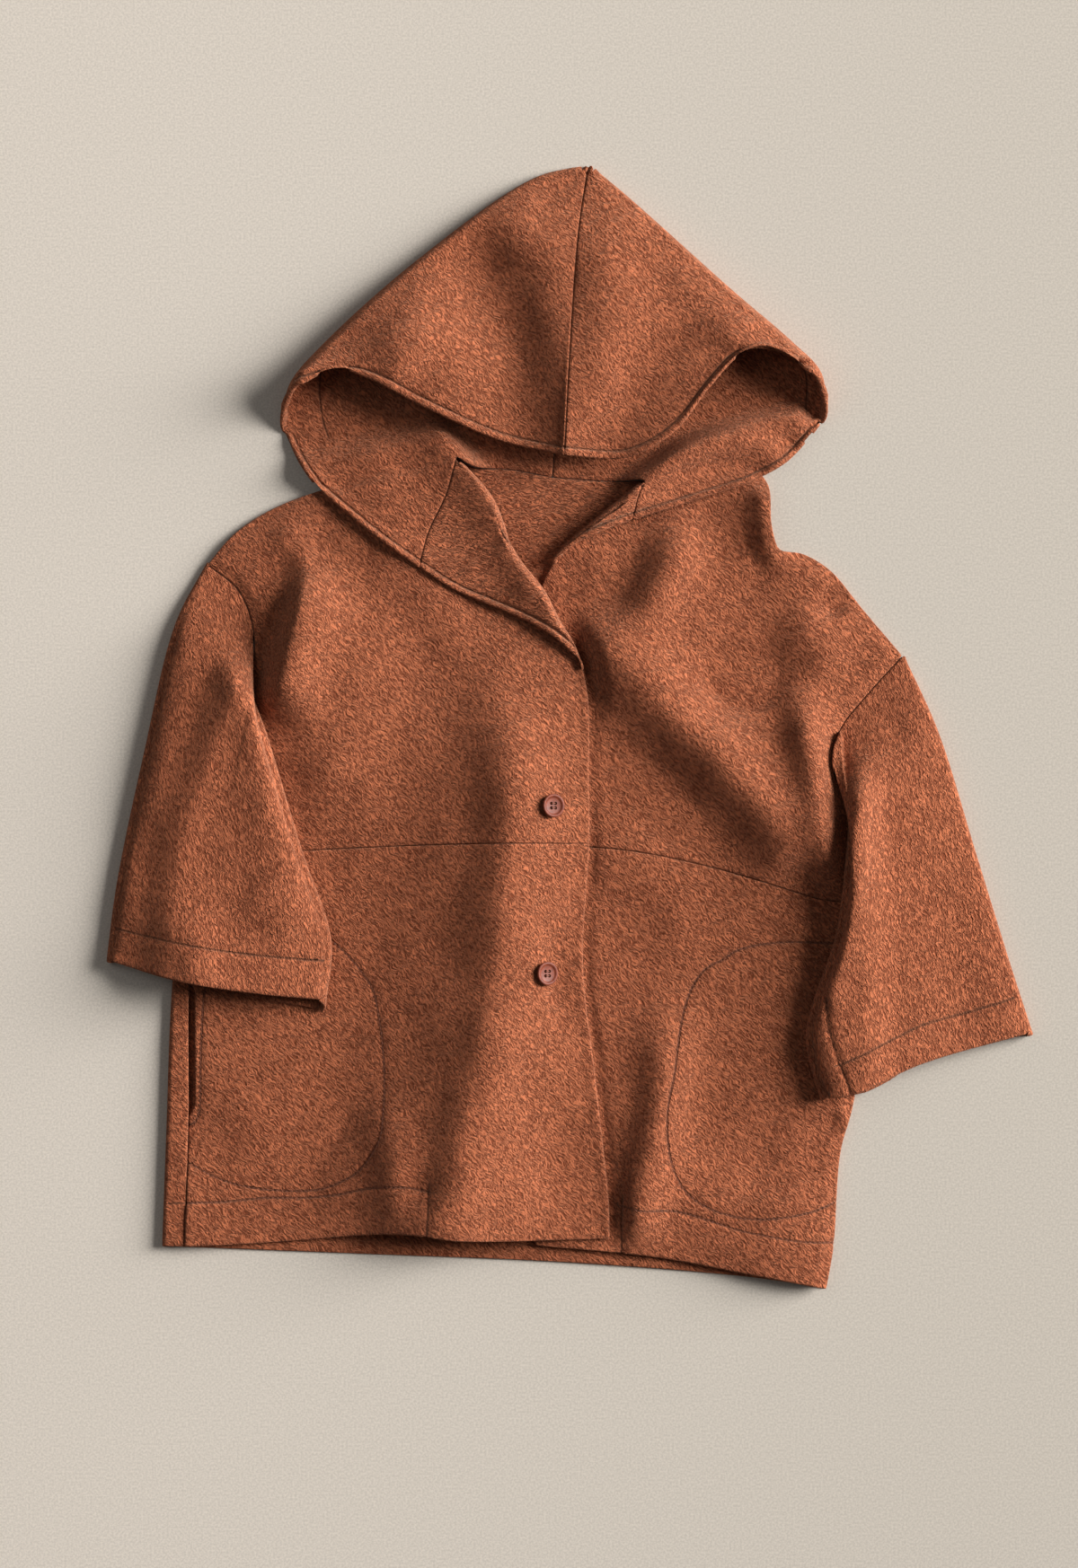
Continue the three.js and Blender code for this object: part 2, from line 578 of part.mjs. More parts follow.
// Sleeves: two layers joined round both edges, open at the armhole and the cuff
function sleeve(armhole, cuff, outer, inner, line, bodySide, folds) {
  const low = (x, y) =>
    climb(line, bodySide, SLEEVE_RAMP, SLEEVE_FULL, BACK_Z, BACK_Z + SLEEVE_OVER, x, y);
  const side = SLEEVE_LAYER / 2;
  const sign = Math.sign(armhole[0][0]) || 1;
  const trim = (edge, way) => edge.map(([x, y], i) => {
    const [rx, ry] = rightOf(edge, i);
    return [x + rx * way * side, y + ry * way * side];
  });
  const first = trim(outer, sign);
  const last = trim(inner, -sign);
  const onSeam = ([x, y], [tx, ty]) => {
    const share = side / Math.hypot(tx - x, ty - y);
    return [mix(x, tx, share), mix(y, ty, share)];
  };
  const near = [...armhole];
  const tip = near.length - 1;
  first[0] = onSeam(near[0], near[1]);
  last[0] = onSeam(near[tip], near[tip - 1]);
  near[0] = first[0];
  near[tip] = last[0];
  const far = [first[first.length - 1], ...cuff.slice(1, -1), last[last.length - 1]];
  const points = inset(relaxed(net(near, far, first, last), SLEEVE_RELAX));
  const rows = points.length - 1;
  return wall([points.map((row, j) => {
    const v = j / rows;
    const columns = row.length - 1;
    const puff = (x, y, i) => {
      const across = Math.sin((Math.PI * i) / columns);
      const below = smooth(v / SLEEVE_HEAD);
      return (SLEEVE_PUFF + foldHeight(folds, x, y)) * Math.sqrt(across) * below;
    };
    const top = sheetRow(row, (x, y, i) => low(x, y) + SLEEVE_LAYER + puff(x, y, i), 1);
    const bottom = sheetRow(reversed(row), low, -1);
    const innerOut = rightOf(inner, j).map((c) => c * sign);
    const outerOut = rightOf(outer, j).map((c) => c * -sign);
    return [
      ...top, ...turn(top[columns], bottom[0], innerOut, side, ARC_STEPS),
      ...bottom, ...turn(bottom[columns], top[0], outerOut, side, ARC_STEPS),
    ];
  })], true);
}
add("sleeve_r", sleeve(
  edges.armholeR, along(CUFF_R, ARMHOLE_STEPS), along(SLEEVE_OUTER_R, SLEEVE_ROWS),
  along(SLEEVE_INNER_R, SLEEVE_ROWS), sideLineR, 1, SLEEVE_R_FOLDS,
), WOOL);
add("sleeve_l", sleeve(
  edges.armholeL, along(CUFF_L, ARMHOLE_STEPS), along(SLEEVE_OUTER_L, SLEEVE_ROWS),
  along(SLEEVE_INNER_L, SLEEVE_ROWS), sideLineL, -1, SLEEVE_L_FOLDS,
), WOOL);

// A value of the hood's sections at a share of the way from peak to brim
function section(share, column) {
  const k = HOOD_SECTIONS.findIndex((s) => s.at >= share);
  if (k <= 0) return HOOD_SECTIONS[0][column];
  const [a, b] = [HOOD_SECTIONS[k - 1], HOOD_SECTIONS[k]];
  return mix(a[column], b[column], smooth((share - a.at) / (b.at - a.at)));
}

// Hood halves: the front part lies turned over the back part, joined round the side fold
function hoodHalf(foldLine, brim, lowerBrim, gorge, neck, sign, collar, folds) {
  const side = along(foldLine, HOOD_ROWS);
  const shifted = (way, column) => side.map(([x, y], j) => {
    const share = j / HOOD_ROWS;
    const [rx, ry] = rightOf(side, j);
    const slip = section(share, "slip") * way;
    const back = section(share, column);
    return [x + sign * rx * back + ry * slip, y + sign * ry * back - rx * slip];
  });
  const above = shifted(1, "above");
  const below = shifted(-1, "below");
  const peakStart = edges.centreTop[0];
  const top = inset(relaxed(net(
    along([peakStart, above[0]], HOOD_COLUMNS),
    along([...brim, above[HOOD_ROWS]], HOOD_COLUMNS),
    edges.centreTop, above,
  ), HOOD_RELAX));
  const flapColumns = BRIM_STEPS;
  const neckPoint = neck[0];
  const bottomEdge = chain(along([below[HOOD_ROWS], neckPoint], flapColumns), neck);
  const bottom = inset(relaxed(net(
    along([below[0], edges.centreBack[0]], bottomEdge.length - 1),
    bottomEdge, below, edges.centreBack,
  ), HOOD_RELAX), { ...ALL_SEWN, near: false, first: false, farFrom: flapColumns + 1 });
  const [loopBrim, restBrim] = lowerBrim;
  const flap = inset(net(
    bottom[HOOD_ROWS].slice(0, flapColumns + 1), along(restBrim, flapColumns),
    along([below[HOOD_ROWS], ...loopBrim], gorge.length - 1), reversed(gorge),
  ), { near: false, far: false, first: false, last: true });
  flap[0] = bottom[HOOD_ROWS].slice(0, flapColumns + 1);
  const folded = top.map((row, j) => {
    const share = j / HOOD_ROWS;
    const under = sheetRow(bottom[j], collar, -1);
    const foldTop = under[0].z + section(share, "rise");
    const over = sheetRow(row, (x, y, i) => {
      const u = i / HOOD_COLUMNS;
      const height = mix(section(share, "centre"), foldTop, u * u);
      return height + foldHeight(folds, x, y) * Math.sin(Math.PI * u);
    }, 1);
    const outward = rightOf(side, j).map((c) => -c * sign);
    const bulge = (section(share, "above") + section(share, "below")) / 2;
    return [...over, ...turn(over[HOOD_COLUMNS], under[0], outward, bulge, LOOP_ARC_STEPS), ...under];
  });
  return wall([folded, flap.map((row) => sheetRow(row, collar, -1))]);
}
add("hood_r", hoodHalf(
  HOOD_FOLD_R, BRIM_R, LOWER_BRIM_R, edges.gorgeR, edges.neckR, -1, collarRZ, HOOD_R_FOLDS,
), WOOL);
add("hood_l", hoodHalf(
  HOOD_FOLD_L, BRIM_L, LOWER_BRIM_L, edges.gorgeL, reversed(edges.neckL), 1, collarLZ,
  HOOD_L_FOLDS,
), WOOL);

// Pocket bags between the fronts and the back
function bag(outline) {
  const shape = new THREE.Shape(along([...outline, outline[0]], BAG_STEPS).slice(0, -1)
    .map(([x, y]) => new THREE.Vector2(x, y)));
  const geometry = new THREE.ExtrudeGeometry(shape, { depth: BAG_WALL, bevelEnabled: false });
  geometry.translate(0, 0, BAG_Z);
  return geometry;
}
add("pocket_bag_r", bag(BAG_R), WOOL_INSIDE);
add("pocket_bag_l", bag(BAG_L), WOOL_INSIDE);

// Buttons: a dished disc with a raised rim and four holes, lying on the top front
const wasm = await Module();
wasm.setup();
function solid(geometry) {
  const bare = geometry.clone();
  bare.deleteAttribute("normal");
  bare.deleteAttribute("uv");
  const merged = mergeVertices(bare, 1e-4);
  return new wasm.Manifold(new wasm.Mesh({
    numProp: 3,
    vertProperties: merged.attributes.position.array,
    triVerts: new Uint32Array(merged.index.array),
  }));
}
const BUTTON_PROFILE = [
  { r: 0, z: 0 }, { r: BUTTON_RADIUS * 0.45, z: 0.1 }, { r: BUTTON_RADIUS - 1, z: 1.1 },
  { r: BUTTON_RADIUS, z: 1.9 }, { r: BUTTON_RADIUS - 0.4, z: BUTTON_RIM - 0.3 },
  { r: BUTTON_RADIUS - 1.2, z: BUTTON_RIM }, { r: BUTTON_RADIUS - 2.2, z: BUTTON_RIM - 0.3 },
  { r: BUTTON_RADIUS - 3, z: BUTTON_DISH }, { r: 0, z: BUTTON_DISH },
];
function button() {
  const profile = BUTTON_PROFILE.map(({ r, z }) => new THREE.Vector2(r, z));
  let body = solid(new THREE.LatheGeometry(profile, BUTTON_SIDES).rotateX(Math.PI / 2));
  for (let k = 0; k < HOLES; k++) {
    const angle = (2 * Math.PI * (k + 0.5)) / HOLES;
    const hole = new THREE.CylinderGeometry(BUTTON_HOLE, BUTTON_HOLE, 4 * BUTTON_RIM, HOLE_SIDES)
      .rotateX(Math.PI / 2)
      .translate(HOLE_SPREAD * Math.cos(angle), HOLE_SPREAD * Math.sin(angle), BUTTON_DISH / 2);
    body = body.subtract(solid(hole));
  }
  const mesh = body.getMesh();
  const geometry = new THREE.BufferGeometry();
  geometry.setAttribute("position", new THREE.BufferAttribute(mesh.vertProperties, 3));
  geometry.setIndex([...mesh.triVerts]);
  geometry.computeVertexNormals();
  return geometry;
}
for (const [name, [x, y]] of Object.entries(BUTTONS)) {
  add(name, button(), HORN);
  const mesh = coat.getObjectByName(name);
  mesh.rotation.y = BUTTON_TILT;
  mesh.position.set(x, y, frontRZ(x, y) + HALF + BUTTON_SEAT);
}

// The origin is the middle of the coat's outline, on the surface below it
const middle = new THREE.Box3().setFromObject(coat).getCenter(new THREE.Vector3());
coat.position.set(-middle.x, -middle.y, 0);

export default coat;
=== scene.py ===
"""A child's hooded coat in boiled wool, laid flat on its back with the hood turned forward.

Outlines and heights are in millimetres in the part's frame before it is centred, and become metres
when a mesh is made. +X is the wearer's left, +Y runs up to the hood and +Z up off the floor. Names
ending in _r are on the wearer's right, which lies at -X.
"""

import logging
import math
from dataclasses import dataclass, field
from enum import Enum
from typing import Callable, Sequence

import bpy
import numpy as np
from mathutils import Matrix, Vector


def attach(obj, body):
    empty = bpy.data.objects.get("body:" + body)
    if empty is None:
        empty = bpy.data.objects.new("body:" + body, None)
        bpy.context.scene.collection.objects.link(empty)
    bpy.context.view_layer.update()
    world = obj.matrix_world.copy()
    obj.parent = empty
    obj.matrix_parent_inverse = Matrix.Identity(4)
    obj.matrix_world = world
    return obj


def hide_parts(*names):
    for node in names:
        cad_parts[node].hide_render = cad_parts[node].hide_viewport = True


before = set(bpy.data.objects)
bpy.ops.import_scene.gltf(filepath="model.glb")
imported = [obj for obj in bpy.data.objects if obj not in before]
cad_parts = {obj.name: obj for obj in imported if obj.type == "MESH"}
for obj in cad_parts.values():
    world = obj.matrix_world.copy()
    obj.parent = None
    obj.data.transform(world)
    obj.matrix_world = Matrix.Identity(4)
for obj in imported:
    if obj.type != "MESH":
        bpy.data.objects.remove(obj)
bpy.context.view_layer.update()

LOG = logging.getLogger("coat")
Array = np.ndarray
Points = Sequence[tuple[float, float]]
Height = Callable[[Array], Array]

MM = 0.001
CENTRING = np.array([-0.982, 0.005, 0.0])

# Cloth, in millimetres
WALL = 2.4
HALF = WALL / 2
BAG_WALL = 1.6
SEAM_GAP = 0.3
RIM = 1.0
EDGE_IN = RIM + SEAM_GAP / 2
CELL = 2.2
HIDDEN_CELL = 3.5
COARSE_CELL = 12.0
SHOULDER_CELL = 6.0
NECK_CELL = 4.0

# Heights of the middle of each layer of cloth above the floor
BACK_Z = HALF
PRESSED_Z = BACK_Z + WALL + SEAM_GAP
BAG_Z = WALL + SEAM_GAP
FRONT_Z = BAG_Z + BAG_WALL + SEAM_GAP + HALF
LAYER_STEP = WALL + 0.5
COLLAR_STEP = WALL + 0.9

# How cloth leaves the layer below it
EDGE_DROP = 10.0
LAP_RISE = 3.1
LAP_FLAT = 60.0
LAP_FADE = 40.0
LAP_CLEAR = 20.0
EDGE_GROOVE = 1.6
EDGE_GROOVE_AT = 3.0
EDGE_GROOVE_WIDTH = 4.0
SLEEVE_RAMP = 34.0
SLEEVE_FULL = 3.0
COLLAR_RAMP = 36.0
COLLAR_FULL = 14.0
NECK_DROP = 17.0
ROLL_FADE = 55.0
ROLL_END = 0.25
LANDING = 0.3
FLAP_LIFT = 2.6
FLAP_LIFT_REACH = 13.0
SLEEVE_OVER = FRONT_Z + LAYER_STEP - BACK_Z
SLEEVE_LAYER = WALL + 0.4

# Steps round a turn of the cloth, and angles of the rings round a raw edge
TURN_STEPS = 8
HOOD_TURN_STEPS = 14
RIM_ANGLES = (45, 90, 135)

# Sewing
HEM_DEPTH = 33.0
CUFF_DEPTH = 25.0
STITCH_LENGTH = 2.9
STITCH_PITCH = 3.6
THREAD_RADIUS = 0.28
BRIM_STITCH = 4.6
GROOVE_DEPTH = 1.2
GROOVE_WIDTH = 1.3
HEM_FULLNESS = 0.35
DOUBLED_EDGE = 1.5

# Marks on the cloth: signed distance from a line, nearness to it and way along it
FAR = 99.0
NO_MARK = np.array([FAR, 0.0, 0.0])
LOOKS_UP = 0.9
MARK_NEAR = 3.5
MARK_FADE = 3.0


class Slot(Enum):
    """Material slots of the record."""

    WOOL = "wool"
    INSIDE = "wool_inside"
    BUTTON = "button"


# Curves and nets

DENSE_STEPS = 32


def smooth(t: Array) -> Array:
    """Eases from 0 to 1."""
    t = np.clip(t, 0, 1)
    return t * t * (3 - 2 * t)


def mix(a: Array, b: Array, t: Array) -> Array:
    """Blends a into b by t."""
    return a + (b - a) * t


def lengths(line: Array) -> Array:
    """Way from the start of a line to each of its points."""
    steps = np.linalg.norm(np.diff(line, axis=0), axis=1)
    return np.concatenate([[0.0], np.cumsum(steps)])


def along(points: Points, steps: int) -> Array:
    """Evenly spaced points along a smooth curve.

    Args:
        points: the points that the curve passes, two or more.
        steps: number of equal steps.

    Returns:
        Array of steps + 1 points.
    """
    p = np.asarray(points, float)
    padded = np.vstack([2 * p[0] - p[1], p, 2 * p[-1] - p[-2]])
    t = np.linspace(0, 1, DENSE_STEPS + 1)[1:, None]
    dense = [p[:1]]
    for k in range(len(p) - 1):
        a, b, c, d = padded[k : k + 4]
        da, db, dc = (max(np.linalg.norm(v - u), 1e-6) ** 0.5 for u, v in ((a, b), (b, c), (c, d)))
        leave = ((b - a) / da - (c - a) / (da + db) + (c - b) / db) * db
        arrive = ((c - b) / db - (d - b) / (db + dc) + (d - c) / dc) * db
        dense.append(
            b * (2 * t**3 - 3 * t**2 + 1) + leave * (t**3 - 2 * t**2 + t)
            + c * (3 * t**2 - 2 * t**3) + arrive * (t**3 - t**2)
        )
    line = np.vstack(dense)
    way = lengths(line)
    at = np.linspace(0, way[-1], steps + 1)
    return np.column_stack([np.interp(at, way, line[:, k]) for k in range(line.shape[1])])


def steps_of(points: Points, cell: float = CELL) -> int:
    """Number of steps of about one cell on a line through points."""
    return max(3, round(lengths(np.asarray(points, float))[-1] / cell))


def chain(*lines: Array) -> Array:
    """Joins lines end to end, each shared corner once."""
    return np.vstack([lines[0], *(line[1:] for line in lines[1:])])


def nearest(line: Array, xy: Array) -> tuple[Array, Array, Array]:
    """Nearest point of a line to each of many points.

    Args:
        line: the line's points.
        xy: points, shape (..., 2).

    Returns:
        Distance, side (+1 left of the line, -1 right) and way along the line.
    """
    flat = xy.reshape(-1, 2)
    best = np.full(len(flat), np.inf)
    side = np.ones(len(flat))
    way = np.zeros(len(flat))
    start = 0.0
    for a, b in zip(line[:-1], line[1:]):
        d = b - a
        length = np.linalg.norm(d)
        off = flat - a
        t = np.clip(off @ d / length**2, 0, 1)
        distance = np.hypot(off[:, 0] - t * d[0], off[:, 1] - t * d[1])
        closer = distance < best
        best[closer] = distance[closer]
        side[closer] = np.where(d[0] * off[:, 1] - d[1] * off[:, 0] < 0, -1, 1)[closer]
        way[closer] = (start + t * length)[closer]
        start += length
    shape = xy.shape[:-1]
    return best.reshape(shape), side.reshape(shape), way.reshape(shape)


def distance_to(line: Array, xy: Array) -> Array:
    """Distance of each point to a line."""
    return nearest(line, xy)[0]


def right_of(line: Array) -> Array:
    """Unit vectors square to a line at each point, on its right."""
    ahead = np.vstack([line[1:], line[-1:]])
    behind = np.vstack([line[:1], line[:-1]])
    d = ahead - behind
    d /= np.linalg.norm(d, axis=1)[:, None]
    return np.column_stack([d[:, 1], -d[:, 0]])


def net(near: Array, far: Array, first: Array, last: Array) -> Array:
    """Four-sided net of points inside its edges.

    Args:
        near: the first row.
        far: the last row.
        first: the first column, from near to far.
        last: the last column.

    Returns:
        Points, shape (rows, columns, 2).
    """
    u = np.linspace(0, 1, len(near))[None, :, None]
    v = np.linspace(0, 1, len(first))[:, None, None]
    corners = mix(mix(near[0], near[-1], u), mix(far[0], far[-1], u), v)
    return mix(near[None], far[None], v) + mix(first[:, None], last[:, None], u) - corners


def relaxed(points: Array, rounds: int) -> Array:
    """Evens out the inner points of a net.

    Args:
        points: the net.
        rounds: how many times.

    Returns:
        The net with its borders as they were.
    """
    now = points.copy()
    for _ in range(rounds):
        now[1:-1, 1:-1] = (now[:-2, 1:-1] + now[2:, 1:-1] + now[1:-1, :-2] + now[1:-1, 2:]) / 4
    return now


def drawn_in(points: Array, by: float, skip: int = 0, reach: float = 5.0) -> Array:
    """Moves the first column of a net inwards, and its neighbours less and less.

    Args:
        points: the net.
        by: how far.
        skip: number of rows at the start that stay.
        reach: distance over which the move fades out.

    Returns:
        The moved net.
    """
    border = points[:, 0]
    right = right_of(border)
    inner = points[:, points.shape[1] // 4]
    way = np.sign(((inner - border) * right).sum())
    gone = np.array([lengths(row) for row in points])
    share = np.clip(1 - gone / np.minimum(reach, 0.8 * gone[:, -1:]), 0, 1)
    share[:skip] = 0
    return points + (right * way * by)[:, None] * share[..., None]


def inset(
    points: Array, sides: str = "near far first last", far_from: int = 0, by: float = EDGE_IN
) -> Array:
    """Moves borders of a net inwards.

    Args:
        points: the net.
        sides: names of the borders that move.
        far_from: first column of the far border that moves.
        by: how far.

    Returns:
        The moved net.
    """
    out = points
    if "first" in sides:
        out = drawn_in(out, by)
    if "last" in sides:
        out = drawn_in(out[:, ::-1], by)[:, ::-1]
    if "near" in sides:
        out = drawn_in(out.swapaxes(0, 1), by).swapaxes(0, 1)
    if "far" in sides:
        out = drawn_in(out[::-1].swapaxes(0, 1), by, far_from).swapaxes(0, 1)[::-1]
    return out


@dataclass(frozen=True)
class Fold:
    """A soft ridge, or a trough where its height is below 0.

    Args:
        path: points that its crest passes.
        width: half-width.
        height: height at its start.
        end: height at its end, or None for the same.
        lean: share by which its left side is wider and its right side narrower.
        fade: shares of its way over which it eases in and out, 0 where it runs to an edge.
    """

    path: tuple
    width: float
    height: float
    end: float | None = None
    lean: float = 0.0
    fade: tuple[float, float] = (0.4, 0.4)

    def rise(self, xy: Array) -> Array:
        """Height that the fold adds at each point.

        Args:
            xy: points.

        Returns:
            Heights.
        """
        line = along(self.path, 1 if len(self.path) == 2 else 6 * len(self.path))
        distance, side, way = nearest(line, xy)
        share = way / lengths(line)[-1]
        height = mix(self.height, self.height if self.end is None else self.end, share)
        for ease, gone in zip(self.fade, (share, 1 - share)):
            if ease:
                height = height * smooth(gone / ease)
        return height * np.exp(-((distance / (self.width * (1 + self.lean * side))) ** 2))


def fold_height(folds: tuple[Fold, ...], xy: Array) -> Array:
    """Height that a row of folds adds at each point."""
    return sum((f.rise(xy) for f in folds), np.zeros(xy.shape[:-1]))


# Slight unevenness of the cloth
DRAPE_WAVES = (150.0, 110.0, 83.0, 61.0, 47.0, 37.0)
DRAPE_SEED = 11
DRAPE_BEND = 0.9
DRAPE_BEND_RATE = 4.0
DRAPE_SUM = 2.2


def drape(xy: Array, height: float = 1.6) -> Array:
    """Slight unevenness of cloth that lies loose.

    Args:
        xy: points.
        height: largest rise.

    Returns:
        Height added at each point.
    """
    rng = np.random.default_rng(DRAPE_SEED)
    total = np.zeros(xy.shape[:-1])
    for wave in DRAPE_WAVES:
        angle, phase = rng.uniform(0, 2 * math.pi, 2)
        c, s = math.cos(angle), math.sin(angle)
        across = xy[..., 0] * s - xy[..., 1] * c
        bend = DRAPE_BEND * np.sin(across * DRAPE_BEND_RATE / wave)
        way = xy[..., 0] * c + xy[..., 1] * s
        total += np.sin(2 * math.pi * way / wave + phase + bend) * wave / DRAPE_WAVES[0]
    return total * height / DRAPE_SUM


def above_back(z: Array) -> Array:
    """Keeps the heights of a front clear of the back, with a soft landing."""
    return PRESSED_Z + LANDING * np.logaddexp(0, (z - PRESSED_Z) / LANDING)


@dataclass(frozen=True)
class Pattern:
    """Corners, seams and edges of the coat as it lies: [x, y] in millimetres."""

    neck_r: tuple = (-84, 204)
    neck_l: tuple = (58, 187)
    neck_mid: tuple = (-12, 189)
    tip_r: tuple = (-273, 123)
    tip_l: tuple = (253, 54)
    underarm_r: tuple = (-241, 33)
    underarm_l: tuple = (211, -59)
    break_r: tuple = (12, 44)
    break_l: tuple = (-12, 126)
    waist_side_r: tuple = (-274, -99)
    waist_fold_r: tuple = (-287, -99)
    waist_side_l: tuple = (216, -133)
    waist_edge_r: tuple = (16, -88)
    waist_edge_l: tuple = (-25, -88)
    hem_seam_r: tuple = (-290, -393)
    hem_corner_l: tuple = (195, -425)
    hem_edge_r: tuple = (31, -387)
    hem_edge_l: tuple = (-25, -392)
    peak: tuple = (15, 424)
    brim_mid: tuple = (-3, 205)
    gorge_r: tuple = (-112.5, 120.7)
    gorge_l: tuple = (49, 157)

    def seams(self) -> dict[str, Points]:
        """Every seam and edge by name, through its points."""
        return {
            "shoulder_r": [self.tip_r, (-253, 146), (-226, 164), (-188, 179), (-130, 195), self.neck_r],
            "shoulder_l": [
                self.neck_l, (100, 195), (138, 197), (151, 184), (154, 152), (160, 135),
                (178, 131), (198, 119), (224, 88), self.tip_l,
            ],
            "armhole_r": [self.tip_r, (-250, 104), (-239, 79), (-237.5, 56), self.underarm_r],
            "armhole_l": [self.tip_l, (227.5, 26), (205.6, -2), (199, -27), self.underarm_l],
            "front_side_r": [self.underarm_r, (-256, -25), self.waist_side_r],
            "back_side_r": [self.underarm_r, (-265, -25), self.waist_fold_r],
            "side_l": [self.underarm_l, (214, -95), self.waist_side_l],
            "roll_r": [
                (-81, 200), (-58, 173), (-40, 130.6), (-18.7, 102.5), (-7, 80), (4, 62),
                self.break_r,
            ],
            "roll_l": [(54.5, 184), (25, 160), (-1, 138), self.break_l],
            "overlap": [self.break_r, (15, 20), (15.5, -41), self.waist_edge_r],
            "underlap": [self.break_l, (-22, 100), self.waist_edge_l],
            "waist_r": [self.waist_side_r, (-202, -93.5), (-66, -88), self.waist_edge_r],
            "waist_l": [
                self.waist_edge_l, (46, -93.5), (100, -104), (144, -116), (190, -130),
                self.waist_side_l,
            ],
            "waist_back": [self.waist_fold_r, (-66, -92), (100, -108), self.waist_side_l],
            "side_seam_r": [self.waist_side_r, (-286, -192), (-287, -293), self.hem_seam_r],
            "side_fold_r": [self.waist_fold_r, (-298, -191), (-303, -311), (-306, -393)],
            "lower_side_l": [
                self.waist_side_l, (217.5, -275), (206, -323), (201, -390), self.hem_corner_l,
            ],
            "lower_edge_r": [
                self.waist_edge_r, (11, -180), (20, -261), (30, -355), self.hem_edge_r,
            ],
            "lower_edge_l": [self.waist_edge_l, self.hem_edge_l],
            "hem_r": [self.hem_seam_r, (-227, -390), (-128, -383), (-77, -388), self.hem_edge_r],
            "hem_l": [self.hem_edge_l, (66, -401), (127, -412), self.hem_corner_l],
            "hem_back": [
                (-306, -393), (-150, -399), (-6, -405), (134, -416), self.hem_corner_l,
            ],
            "neck_seam_r": [self.neck_r, (-72, 197), (-45, 195), self.neck_mid],
            "neck_seam_l": [self.neck_l, (32, 186), self.neck_mid],
            "gorge_seam_r": [self.gorge_r, (-105.7, 147), (-92, 176), self.neck_r],
            "gorge_seam_l": [self.gorge_l, (52, 172), self.neck_l],
            "lapel_edge_r": [
                self.gorge_r, (-86, 104), (-36.6, 82.8), (-15, 71), (-1, 60), (8, 50), (11, 45),
            ],
            "lapel_edge_l": [self.gorge_l, (25, 148), (4, 138), (-11, 123)],
            "sleeve_outer_r": [self.tip_r, (-296, 78), (-320, -21), (-340, -117), (-348, -176)],
            "sleeve_inner_r": [
                self.underarm_r, (-238, 20), (-229.5, -3), (-202, -93.5), (-180, -161.5), (-184, -206),
            ],
            "cuff_r": [(-348, -176), (-297, -191), (-237, -201), (-184, -206)],
            "sleeve_outer_l": [self.tip_l, (279, -4), (308, -97.6), (333.5, -180), (350, -231)],
            "sleeve_inner_l": [
                self.underarm_l, (212.5, -73), (211, -95), (203, -158), (186, -208), (180.5, -235),
                (191, -280),
            ],
            "cuff_l": [(350, -231), (268, -254), (213, -278), (191, -280)],
            "centre_top": [self.peak, (8, 377), (2, 298), self.brim_mid],
            "centre_back": [self.peak, (6, 377), (-4, 280), self.neck_mid],
            "hood_fold_r": [
                (9, 423.5), (-26, 414), (-115, 351), (-186, 287), (-208, 261), (-213.5, 243),
            ],
            "hood_fold_l": [(20, 421), (45, 400), (125, 328), (169, 290), (189, 269), (193, 250)],
            "brim_r": [self.brim_mid, (-53, 217), (-106, 240), (-151, 263), (-176, 270)],
            "brim_l": [
                self.brim_mid, (45, 204), (80, 223), (107, 257), (130, 281), (146, 287), (164, 281),
            ],
            "loop_brim_r": [(-203, 200), (-190, 181)],
            "loop_brim_l": [(182, 218)],
            "rest_brim_r": [(-190, 181), (-145, 144), self.gorge_r],
            "rest_brim_l": [(182, 218), (164, 200), (140, 187), (99, 173), self.gorge_l],
            "hood_roll_r": [(-112, 246), self.neck_r],
            "hood_roll_l": [(172, 232), (148, 229), (99, 214), self.neck_l],
        }

    def line(self, name: str, cell: float = CELL) -> Array:
        """A seam as evenly spaced points about a cell apart."""
        points = self.seams()[name]
        return along(points, steps_of(points, cell))

    def steps(self, name: str, steps: int) -> Array:
        """A seam in a given number of steps."""
        return along(self.seams()[name], steps)


